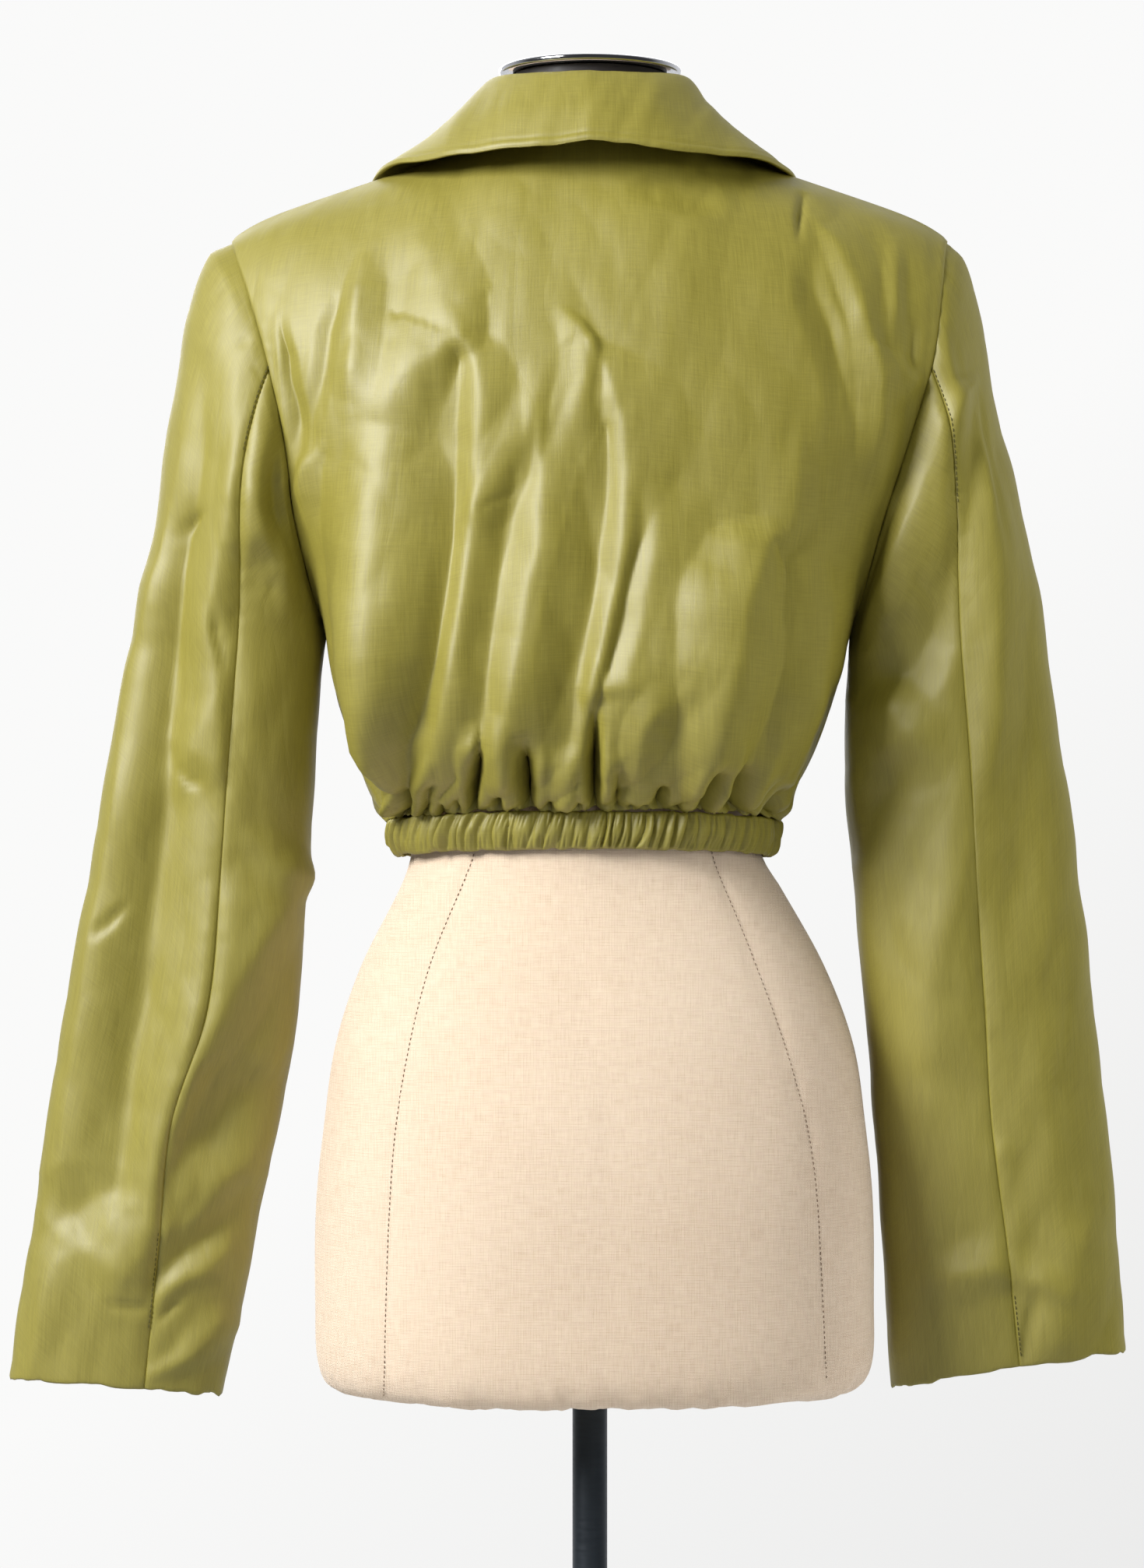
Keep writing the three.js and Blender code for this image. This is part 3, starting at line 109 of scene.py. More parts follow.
def between(rows, key, at, column):
    xs, ys = rows[key], rows[column]
    k = np.arange(len(xs))
    before, after = np.maximum(k - 1, 0), np.minimum(k + 1, len(xs) - 1)
    slope = (ys[after] - ys[before]) / (xs[after] - xs[before])
    i = np.clip(np.searchsorted(xs, at) - 1, 0, len(xs) - 2)
    step = xs[i + 1] - xs[i]
    t = np.clip((at - xs[i]) / step, 0, 1)
    return hermite(ys[i], slope[i] * step, ys[i + 1], slope[i + 1] * step, t)


def through(rows, t):
    """rows is (count, n, 3) or (count, 1, 3), t is (n,): the point at share t of each column."""
    last = len(rows) - 1
    t = np.clip(t, 0, 1) * last
    i = np.minimum(t.astype(int), last - 1)
    f = (t - i)[:, None]
    column = np.arange(len(t)) if rows.shape[1] > 1 else np.zeros(len(t), int)
    before, a, b, after = (rows[np.clip(k, 0, last), column] for k in (i - 1, i, i + 1, i + 2))
    leave = (b - before) * np.where(i > 0, 0.5, 1.0)[:, None]
    arrive = (after - a) * np.where(i < last - 1, 0.5, 1.0)[:, None]
    return hermite(a, leave, b, arrive, f)


def points(x, y, z):
    return np.stack(np.broadcast_arrays(x, y, z), axis=-1).astype(float)


def crossed(a, b):
    """Every a with every b, as two flat arrays."""
    return (v.ravel() for v in np.meshgrid(a, b, indexing="ij"))


def length_along(line):
    return np.concatenate([[0], np.cumsum(np.linalg.norm(np.diff(line, axis=0), axis=1))])


halfway = between(table("a b", (0, 0), (1, 2), (2, 3)), "a", np.array([0.5, 1.5]), "b")
print("halfway between the rows of a small table:", np.round(halfway, 3))

# %% [markdown]
# ## The body of the blazer
# A jacket's body is three big pieces that share their seams: one back and two fronts. Each is a
# set of rows across the body, from the gathered band up to the shoulder seam and the neckline.
# The side seam and the armhole are one curve, counted as a *place*: -1 at the band, 0 under the
# arm and 0.5 at the tip of the shoulder. Back, front and sleeve all use it, so they meet exactly.

# %% Seam lines of the body
LEFT, RIGHT = 1, -1  # the wearer's left is +X
SHOULDER_TIP = np.array([213.5, -8.0, 1411.5])
NECK_POINT = np.array([70.0, -2.0, 1466.0])
NECK_DEPTH = 60.0
NECK_DROP_BEHIND, NECK_DROP_BEFORE = 4.0, 40.0
NECK_SHARE = 0.36  # how much of a panel's top edge is neckline; the rest is shoulder seam
TIP_DROP = 7  # the shoulder seam falls this much more right at its tip
ARMHOLE = table(
    "at x lean y z",
    (-0.06, 159.5, 1, -36, 1203),
    (0.0, 156.5, 1, -4, 1184),
    (0.06, 161.5, 1, 26, 1197),
    (0.12, 172, 0.5, 50, 1240),
    (0.17, 182, -4, 60, 1286),
    (0.22, 193, -6, 61, 1329),
    (0.32, 203, -3, 45, 1373),
    (0.42, 210.5, 0, 18, 1402),
    (0.5, 213.5, 0, -8, 1411.5),
    (0.58, 210, 0, -33, 1400),
    (0.68, 199, 0, -56, 1364),
    (0.77, 184, 0, -68, 1315),
    (0.86, 169, 0.5, -62, 1252),
    (0.94, 159.5, 1, -36, 1203),
    (1.0, 156.5, 1, -4, 1184),
    (1.06, 161.5, 1, 26, 1197),
)
SIDE_SEAM = table(
    "z x lean y",
    (1066, 114.5, 3.5, 12),
    (1076, 120.5, 5, 12),
    (1096, 131, 4, 12),
    (1118, 139.5, 3, 11),
    (1141, 147, 2.5, 8),
    (1164, 152.5, 1.5, 3),
    (1184, 156.5, 1, -4),
)


def armhole(sign, at):
    x, lean, y, z = (between(ARMHOLE, "at", at, name) for name in ("x", "lean", "y", "z"))
    return points(x + sign * lean, y, z)


def side_seam(sign, share):
    z = mix(SIDE_SEAM["z"][0], SIDE_SEAM["z"][-1], share)
    x, lean, y = (between(SIDE_SEAM, "z", z, name) for name in ("x", "lean", "y"))
    return points(x + sign * lean, y, z)


def edge_point(sign, behind, place):
    upper = armhole(sign, np.maximum(place, 0) if behind else 1 - np.maximum(place, 0))
    lower = side_seam(sign, np.minimum(place, 0) + 1)
    return np.where((place < 0)[:, None], lower, upper)


print("armhole tip at", armhole(LEFT, np.array([0.5]))[0])


# %% Rows of the back and the fronts
# Height and depth at the centre, the place where the row ends, how far it wraps round the body,
# and how square it is (1 is round): the cloth hangs free of the waist in wide planes.
ROWS = {
    "back": table(
        "z depth place wrap square",
        (1070.3, 90, -1, 86, 1),
        (1082, 108, -0.88, 86, 1.15),
        (1103, 120, -0.72, 86, 1.45),
        (1133, 126, -0.48, 90, 1.65),
        (1166, 127, -0.22, 94, 1.65),
        (1197, 125, 0, 97, 1.55),
        (1230, 122.5, 0.08, 80, 1.35),
        (1270, 120.5, 0.14, 68, 1.2),
        (1312, 117.5, 0.2, 62, 1.05),
    ),
    "front": table(
        "z depth place wrap square",
        (1066, -97, -1, 97, 1),
        (1082, -108, -0.88, 97, 1),
        (1103, -115, -0.72, 96, 1),
        (1133, -121, -0.48, 95, 1),
        (1166, -128, -0.22, 93, 1),
        (1200, -134, 0, 91, 1),
        (1235, -138, 0.065, 84, 1),
        (1270, -138.5, 0.125, 76, 1),
        (1305, -130, 0.19, 69, 1),
        (1335, -116, 0.25, 64, 1),
    ),
}
# How the cloth leaves the last row and arrives at the neckline or the shoulder seam.
ROLL = {
    "back": ((0, -0.12, 1), (0, -0.62, 0.8), (0, -1.15, 0.14)),
    "front": ((0, 0.4, 1), (0, 0.55, 0.85), (0, 1.1, 0.14)),
}
ROLL_ROWS = 3
print({name: len(rows["z"]) for name, rows in ROWS.items()}, "rows across the body")


# %% Points of the back and the fronts
def neckline(turn, depth, drop):
    rise = -drop * np.cos(turn) ** 2
    return points(NECK_POINT[0] * np.sin(turn), NECK_POINT[1] + depth * np.cos(turn), NECK_POINT[2] + rise)


def top_edge(behind, across):
    depth, drop = (NECK_DEPTH, NECK_DROP_BEHIND) if behind else (-NECK_DEPTH, NECK_DROP_BEFORE)
    neck = neckline(np.minimum(across / NECK_SHARE, 1) * math.pi / 2, depth, drop)
    out = np.maximum(across - NECK_SHARE, 0) / (1 - NECK_SHARE)
    fall = NECK_POINT[2] - SHOULDER_TIP[2] - TIP_DROP
    x = mix(NECK_POINT[0], SHOULDER_TIP[0], out)
    z = NECK_POINT[2] - fall * out - TIP_DROP * out**12
    shoulder = points(x, mix(NECK_POINT[1], SHOULDER_TIP[1], out), z)
    return np.where((across < NECK_SHARE)[:, None], neck, shoulder)


def panel_rows(sign, behind, across):
    """Every row of half the back, or of a front, at the places `across`: (rows, n, 3)."""
    name = "back" if behind else "front"
    rows, places = ROWS[name], list(ROWS[name]["place"])
    made = []
    for z, depth, place, wrap, square in zip(*rows.values()):
        end = edge_point(sign, behind, np.array([place]))[0]
        wrap = math.radians(wrap)
        share = (np.cos(wrap * across) - math.cos(wrap)) / (1 - math.cos(wrap))
        share = 1 - (1 - share) ** square
        x = end[0] * np.sin(wrap * across) / math.sin(wrap)
        made.append(points(x, mix(end[1], depth, share), mix(end[2], z, share)))
    last, top = made[-1], top_edge(behind, across)
    length = np.linalg.norm(top - last, axis=1)[:, None]
    leave, neck, shoulder = (np.array(way) for way in ROLL[name])
    arrive = mix(neck, shoulder, smooth(across / NECK_SHARE)[:, None])
    for k in range(1, ROLL_ROWS + 2):
        share = k / (ROLL_ROWS + 1)
        made.append(hermite(last, leave * length, top, arrive * length, share))
        places.append(mix(rows["place"][-1], 0.5, share))
    return np.array(made), np.array(places)


def panel_point(sign, behind, across, up):
    """The body without folds: across 0 at the centre and 1 at the side, up 0 at the band."""
    across, up = (np.asarray(v, float) for v in np.broadcast_arrays(across, up))
    rows, places = panel_rows(sign, behind, np.abs(across))
    ends = panel_rows(sign, behind, np.array([1.0]))[0]
    place = np.interp(up, np.linspace(0, 1, len(places)), places)
    miss = edge_point(sign, behind, place) - through(ends, up)
    p = through(rows, up) + miss * np.minimum(np.abs(across), 1)[:, None] ** 3
    p[:, 0] = np.where(across < 0, -p[:, 0], p[:, 0])
    return p


def relaxed(p, times):
    """The sheet drawn smooth inside its fixed edges, as cloth under a little tension."""
    p = p.copy()
    for _ in range(times):
        p[1:-1, 1:-1] += 0.25 * (p[:-2, 1:-1] + p[2:, 1:-1] + p[1:-1, :-2] + p[1:-1, 2:] - 4 * p[1:-1, 1:-1])
    return p


def even_ups(sign, behind, count, share=0.5):
    """Heights up a panel that are evenly spaced along the cloth."""
    fine = np.linspace(0, 1, 400)
    length = length_along(panel_point(sign, behind, np.full(len(fine), share), fine))
    return np.interp(np.linspace(0, length[-1], count), length, fine)


centre = panel_point(LEFT, True, np.zeros(3), np.array([0, 0.5, 1.0]))
print("centre back runs through heights", np.round(centre[:, 2]))

# %% [markdown]
# ## Folds
# Cloth that hangs from two shoulders and is gathered at the waist breaks into long folds. A
# physics run would give folds, but not these ones, so each is drawn: a chalk line down
# the cloth, its height along the line, and how wide it spreads on either side. A fold that
# spreads more on one side is steep on the other, which is what catches the light. The lines are
# drawn as one sees them from behind, at the camera's distance; `as_seen` puts the cloth there.
#
# Each row of a fold table is one fold: its name, its heights along the line (minus for a trough),
# its reach to the left and to the right, and then where each point of the line is, across and up.
# Where a row says *soft*, the crest is rounder the larger the number after it.

# %% Drawing folds
SOFT, GATHER_SOFT = 0.16, 0.06  # how rounded the crest of a fold is; a gather is sharper


def fold(heights, left, right, *path, soft=SOFT):
    """left and right reach to the fold's feet along the path; on a fold running down, left is +X."""
    path = np.array(path, float)
    t = np.linspace(0, 1, 8 * (len(path) - 1) + 1)
    line = through(path[:, None, :], t)
    return {"line": line, "heights": heights, "left": left, "right": right, "soft": soft}


def folds_from(text, soft=SOFT):
    """Folds from rows of "name: heights | left | right | x z x z ...", with a semicolon between them."""
    made = []
    for row in text.split(";"):
        name, numbers = row.split(":")
        own_soft = name.partition(", soft ")[2]
        heights, left, right, path = ([float(v) for v in part.split()] for part in numbers.split("|"))
        made.append(fold(heights, left, right, *zip(path[::2], path[1::2]), soft=float(own_soft or soft)))
    return made


def as_seen(p):
    scale = VIEW_DISTANCE / (VIEW_DISTANCE - p[:, 1])
    return np.stack([p[:, 0] * scale, VIEW_HEIGHT + (p[:, 2] - VIEW_HEIGHT) * scale], axis=1)


def even(values, s):
    return np.interp(s, np.linspace(0, 1, len(values)), values)


def wandering(where, seed):
    """The same places, moved a little to and fro, so that no fold runs as if drawn with a ruler."""
    x, z = where[:, 0], where[:, 1]
    across = 1.6 * lumps(x, z, 40, 60, seed) + 0.5 * lumps(x, z, 9, 26, seed + 1)
    along = 4.0 * lumps(x, z, 30, 30, seed + 2) + 1.2 * lumps(x, z, 9, 9, seed + 3)
    return where + np.stack([across, along], axis=1)


def tent(t, crest, foot):
    """1 on the fold's line and 0 at its foot: flat flanks, a rounded crest and a soft foot."""
    away = (np.sqrt(t**2 + crest**2) - crest) / (math.sqrt(1 + crest**2) - crest)
    return np.clip(1 - away, 0, 1) ** foot


def lift_of(where, folds, foot=1.15):
    """How far the folds push the cloth out at each place."""
    total = np.zeros(len(where))
    for one in folds:
        line = one["line"]
        reach = max(one["left"] + one["right"])
        low, high = line.min(axis=0) - reach, line.max(axis=0) + reach
        near = np.nonzero(((where > low) & (where < high)).all(axis=1))[0]
        if not len(near):
            continue
        start, step = line[:-1], np.diff(line, axis=0)
        length = np.linalg.norm(step, axis=1)
        off = where[near][:, None] - start
        t = np.clip((off * step).sum(axis=2) / length**2, 0, 1)
        off = off - t[..., None] * step
        k = (off**2).sum(axis=2).argmin(axis=1)
        n = np.arange(len(near))
        off, t = off[n, k], t[n, k]
        away = np.linalg.norm(off, axis=1)
        side = (step[k, 0] * off[:, 1] - step[k, 1] * off[:, 0]) / (length[k] * np.maximum(away, 1e-9))
        s = (k + t) / len(length)
        width = mix(even(one["right"], s), even(one["left"], s), smooth((side + 1) / 2))
        total[near] += even(one["heights"], s) * tent(away / width, one["soft"], foot)
    return total


ridge = folds_from("a straight ridge: 5 5 | 4 4 | 4 4 | 0 100 0 0")
print("a ridge 5 mm high lifts its own line by", lift_of(np.array([[0.0, 50.0]]), ridge))


# %% Unevenness and pleats
LATTICE = (67, 71)  # the random unevenness repeats after so many lumps
PLEATS = 400  # more than the longest strip has


def lumps(a, b, cell_a, cell_b, seed):
    """Soft random unevenness from -1 to 1, with lumps of about cell_a by cell_b."""
    lattice = np.random.default_rng(seed).uniform(-1, 1, LATTICE)
    a, b = a / cell_a, b / cell_b
    i, j = np.floor(a).astype(int), np.floor(b).astype(int)
    f, g = smooth(a - i), smooth(b - j)
    at = lambda di, dj: lattice[(i + di) % LATTICE[0], (j + dj) % LATTICE[1]]
    return mix(mix(at(0, 0), at(1, 0), f), mix(at(0, 1), at(1, 1), f), g)


def pleats(s, v, widths, seed, lean=1.6, fullness=0.5):
    """Rounded pleats along s (mm) with creases between them; v is 0 to 1 across the strip."""
    rng = np.random.default_rng(seed)
    stops = np.cumsum(rng.uniform(*widths, PLEATS)) - 30
    heights = rng.uniform(0.4, 1.0, PLEATS + 1)
    slant = np.interp(s, stops, rng.uniform(-lean, lean, PLEATS))
    bend = np.interp(s, stops, rng.uniform(-0.6, 0.6, PLEATS) * lean)
    s = s + slant * (v - 0.5) + bend * np.sin(math.pi * v)
    k = np.clip(np.searchsorted(stops, s), 1, PLEATS - 1)
    t = (s - stops[k - 1]) / (stops[k] - stops[k - 1])
    return heights[k] * np.sin(math.pi * np.clip(t, 0, 1)) ** fullness


print("a little unevenness:", np.round(lumps(np.arange(4.0), np.zeros(4), 2.0, 2.0, 1), 2))

# %% [markdown]
# ## From rows of points to a cloth mesh
# Every cloth piece is a grid of points, already pushed by its folds. The helpers below work out
# which way is out, lay flat coordinates (in metres) on the cloth for the weave, and give the
# sheet its thickness. Along seams the cloth dips a little, as sewn cloth does.

# %% Cloth meshes
CLOTH, COLLAR_CLOTH = 1.4, 2.0  # thickness; the collar and the lapels are doubled


def grid_normals(p):
    normal = np.cross(np.gradient(p, axis=0), np.gradient(p, axis=1))
    return normal / np.maximum(np.linalg.norm(normal, axis=2, keepdims=True), 1e-9)


def turned_toward(way, normal):
    """The same normals, turned so that on the whole they look the given way."""
    return normal * np.sign((normal * way).sum(axis=-1).mean())


def faces_look_along(p, normal):
    """Whether faces laid on the grid p look the way of the normals."""
    return (normal * np.cross(np.gradient(p, axis=0), np.gradient(p, axis=1))).sum() > 0


def runs(p, axis):
    """Distance along the cloth from its first row or column, and from its last one."""
    step = np.linalg.norm(np.diff(p, axis=axis), axis=2)
    first = np.concatenate([np.zeros_like(step.take([0], axis)), np.cumsum(step, axis)], axis)
    return first, first.take([-1], axis) - first


def mesh_object(name, vertices, faces, flat=None):
    mesh = bpy.data.meshes.new(name)
    mesh.from_pydata((np.asarray(vertices) * MM).tolist(), [], [tuple(face) for face in faces])
    mesh.polygons.foreach_set("use_smooth", [True] * len(mesh.polygons))
    if flat is not None:
        corner = np.empty(len(mesh.loops), int)
        mesh.loops.foreach_get("vertex_index", corner)
        layer = mesh.uv_layers.new(name="cloth")
        layer.data.foreach_set("uv", (np.asarray(flat) * MM)[corner].ravel())
    made = added(name, mesh)
    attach(made, "root")
    return made


def grid_faces(n, m, flip=False):
    i, j = crossed(np.arange(n - 1), np.arange(m - 1))
    a = i * m + j
    faces = np.stack([a, a + m, a + m + 1, a + 1], axis=1)
    return (faces[:, ::-1] if flip else faces).tolist()


def cloth_piece(name, plain, p, thickness, flip, stands_for):
    """A sheet over the grid p (mm); its cloth lies inside p, and its grain follows the plain grid."""
    n, m = p.shape[:2]
    u = runs(plain, 0)[0]
    flat = np.stack([u - u[n // 2], runs(plain, 1)[0]], axis=2).reshape(-1, 2)
    made = mesh_object(name, p.reshape(-1, 3), grid_faces(n, m, flip), flat)
    shell = made.modifiers.new("thickness of the cloth", "SOLIDIFY")
    shell.thickness = thickness * MM
    shell.offset = -1
    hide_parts(stands_for)
    area = np.linalg.norm(np.cross(p[1:, :-1] - p[:-1, :-1], p[:-1, 1:] - p[:-1, :-1]), axis=2).sum()
    print(f"{name}: {n} x {m} points, {area / 1e6:.4f} m2 of cloth")
    return made


def seam_dip(away, depth=0.9, width=1.3):
    return -depth * np.exp(-((away / width) ** 2))


def puckers(along, away, seed, height=0.35, reach=7.0):
    """Little ripples across a seam, where the thread draws the cloth in."""
    return height * lumps(along, away, 4.2, 60.0, seed) * np.exp(-((away / reach) ** 2))


print("a 3 x 3 grid makes", len(grid_faces(3, 3)), "faces")

# %% [markdown]
# ## Finishes
# Each material is mixed from noise and wave patterns, so it needs no picture. A small helper adds
# nodes and links them in one line. Colours are given as the eye sees them and turned linear.

# %% Material helpers
def seen(red, green, blue):
    """A colour given in 0 to 255, as linear light."""
    shares = (red / 255, green / 255, blue / 255)
    return tuple(((c + 0.055) / 1.055) ** 2.4 if c > 0.04 else c / 12.92 for c in shares) + (1,)


class Recipe:
    """A new material, or the world, by its nodes: add them by type and feed their inputs by name."""

    def __init__(self, name, kind="materials", shader="Principled BSDF"):
        self.owner = getattr(bpy.data, kind).new(name)
        self.owner.use_nodes = True
        self.tree = self.owner.node_tree
        self.shader = self.tree.nodes[shader]

    def node(self, kind, feeds=None, **settings):
        made = self.tree.nodes.new("ShaderNode" + kind)
        for key, value in settings.items():
            setattr(made, key, value)
        for socket, value in (feeds or {}).items():
            self.feed(made, socket, value)
        return made

    def feed(self, node, socket, value):
        if isinstance(value, bpy.types.NodeSocket):
            self.tree.links.new(value, node.inputs[socket])
        else:
            node.inputs[socket].default_value = value

    def finished(self, feeds):
        """The material or world, after its shader is fed."""
        for socket, value in feeds.items():
            self.feed(self.shader, socket, value)
        return self.owner

    def flat(self, scale, where="UV"):
        """Coordinates on the cloth, in metres, stretched by scale."""
        source = self.node("TexCoord").outputs[where]
        return self.node("Mapping", {"Vector": source, "Scale": scale}).outputs["Vector"]

    def noise(self, scale, detail=2.0, roughness=0.5, where="UV"):
        feeds = {"Vector": self.flat(scale, where), "Scale": 1.0, "Detail": detail, "Roughness": roughness}
        return self.node("TexNoise", feeds).outputs["Fac"]

    def math(self, operation, a, b=0.0):
        return self.node("Math", {0: a, 1: b}, operation=operation).outputs[0]

    def blend(self, a, share_of_a, b, share_of_b):
        return self.math("ADD", self.math("MULTIPLY", a, share_of_a), self.math("MULTIPLY", b, share_of_b))

    def ramp(self, value, *stops):
        made = self.node("ValToRGB", {"Fac": value})
        elements = made.color_ramp.elements
        for k, (at, colour) in enumerate(stops):
            stop = elements[k] if k < 2 else elements.new(at)
            stop.position = at
            stop.color = colour
        return made.outputs["Color"]

    def span(self, value, low, high, start=0.0, end=1.0):
        feeds = {"Value": value, "From Min": start, "From Max": end, "To Min": low, "To Max": high}
        return self.node("MapRange", feeds).outputs["Result"]

    def bump(self, height, distance, strength=1.0):
        feeds = {"Height": height, "Distance": distance, "Strength": strength}
        return self.node("Bump", feeds).outputs["Normal"]


print("olive in linear light:", np.round(seen(166, 159, 91), 3))

# %% [markdown]
# ### Polished cotton
# The cloth is a plain-woven cotton that has been waxed and pressed: a broad, soft shine, with
# slubs (thicker bits of yarn) that run down the cloth and shorter ones across it. Slubs are noise
# stretched a lot one way. They change the colour and the height a little; a slow, large noise
# changes the shine, because wax never lies evenly.

# %% Cotton
def cotton(name, dark, light):
    r = Recipe(name)
    down = r.noise((1100, 36, 1), 3.0, 0.6)
    across = r.noise((60, 1300, 1), 2.0, 0.55)
    fine = r.noise((3200, 3200, 1), 1.0)
    large = r.noise((9, 5, 1), 3.0)
    yarn = r.blend(down, 0.6, across, 0.4)
    shade = r.blend(yarn, 0.8, large, 0.2)
    worn = r.blend(large, 0.7, down, 0.3)
    # Handling leaves faint creases: they run where a soft noise passes its middle value.
    soft = (r.noise(scale, 1.2) for scale in ((23, 9, 1), (44, 20, 1)))
    wide, narrow = (r.math("ABSOLUTE", r.math("SUBTRACT", noise, 0.5)) for noise in soft)
    creased = r.math("ADD", wide, r.math("MULTIPLY", narrow, 0.35))
    threads = r.math("MULTIPLY", r.math("ADD", yarn, r.math("MULTIPLY", fine, 0.35)), 0.07)
    return r.finished({
        "Base Color": r.ramp(shade, (0.34, seen(*dark)), (0.66, seen(*light))),
        "Roughness": r.span(worn, 0.51, 0.61, 0.3, 0.7),
        "Normal": r.bump(r.math("ADD", creased, threads), 0.002),
        "Specular IOR Level": 0.95,
    })


olive = cotton("polished_olive_cotton", (125, 116, 37), (146, 137, 51))
print("cotton nodes:", len(olive.node_tree.nodes))

# %% [markdown]
# ### Linen, metal and horn
# The form is covered in coarse natural linen: two sets of threads that cross, each thread a
# little thicker or thinner than the next. The stand is satin paint, the cap bright chrome, and
# the buttons are dyed horn with a streak in them.

# %% Linen
def linen(name):
    r = Recipe(name)
    feeds = {"Vector": r.flat((1, 1, 1)), "Scale": 330.0}
    feeds |= {"Distortion": 1.2, "Detail": 2.0, "Detail Scale": 1.5}
    threads = [r.node("TexWave", feeds, bands_direction=way).outputs["Fac"] for way in "XY"]
    weave = r.math("MULTIPLY", *threads)
    slub = r.blend(r.noise((1300, 90, 1)), 0.5, r.noise((90, 1300, 1)), 0.5)
    large = r.noise((7, 7, 1))
    tone = r.math("ADD", r.blend(weave, 0.35, slub, 0.55), r.math("MULTIPLY", large, 0.15))
    colour = r.ramp(tone, (0.2, seen(190, 162, 134)), (0.42, seen(218, 197, 173)), (0.7, seen(230, 213, 192)))
    return r.finished({
        "Base Color": colour,
        "Normal": r.bump(r.math("ADD", weave, slub), 0.0004, 0.6),
        "Roughness": 0.92,
        "Sheen Weight": 0.2,
        "Specular IOR Level": 0.2,
    })


natural_linen = linen("natural_linen")
print("linen nodes:", len(natural_linen.node_tree.nodes))


# %% Metals, horn and thread
def metal(name, colour, metallic, rough, streak, grain):
    """Smooth metal or paint, with a fine unevenness in its shine."""
    r = Recipe(name)
    haze = r.noise(grain, 3.0, where="Object")
    edge = r.span(haze, 0.9, 1.1, 0.3, 0.7)
    feeds = {"Factor": 1.0, "A": seen(*colour), "B": edge}
    tint = r.node("Mix", feeds, data_type="RGBA", blend_type="MULTIPLY")
    return r.finished({
        "Base Color": tint.outputs["Result"],
        "Metallic": metallic,
        "Roughness": r.span(haze, rough - streak, rough + streak, 0.3, 0.7),
        "Normal": r.bump(haze, 0.00004, 0.5),
    })


chrome = metal("bright_chrome", (226, 227, 230), 1.0, 0.11, 0.04, (30, 30, 400))
dark_rubber = metal("dark_recess", (38, 36, 36), 0.0, 0.6, 0.1, (120, 120, 120))
satin_black = metal("satin_blue_black", (44, 50, 56), 0.35, 0.38, 0.06, (90, 90, 500))


def horn(name):
    r = Recipe(name)
    streak = r.noise((160, 60, 420), 4.0, 0.6, where="Object")
    return r.finished({
        "Base Color": r.ramp(streak, (0.35, seen(84, 78, 38)), (0.65, seen(132, 124, 70))),
        "Roughness": r.span(streak, 0.22, 0.34, 0.3, 0.7),
        "Normal": r.bump(streak, 0.00005, 0.4),
    })


def twist(name, colour):
    """Sewing thread: a tight twist seen as fine slanting bands."""
    r = Recipe(name)
    feeds = {"Vector": r.flat((1, 1, 1), "Object"), "Scale": 900.0}
    wave = r.node("TexWave", feeds, bands_direction="DIAGONAL")
    dark = tuple(int(c * 0.7) for c in colour)
    return r.finished({
        "Base Color": r.ramp(wave.outputs["Fac"], (0.2, seen(*dark)), (0.8, seen(*colour))),
        "Normal": r.bump(wave.outputs["Fac"], 0.0001, 0.6),
        "Roughness": 0.7,
    })


button_horn = horn("dyed_horn")
olive_thread = twist("olive_thread", (92, 86, 40))
form_thread = twist("brown_thread", (132, 104, 80))
print("materials ready:", [m.name for m in bpy.data.materials])


def wear(made, material):
    made.data.materials.clear()
    made.data.materials.append(material)
    return made


# %% [markdown]
# ## The back
# The back is one wide piece. Its folds start at the shoulder blades, where the cloth leaves the
# body, and run down to the gathers at the waist. Near the band the cloth puffs out and is drawn
# in again by the elastic, in deep short creases.

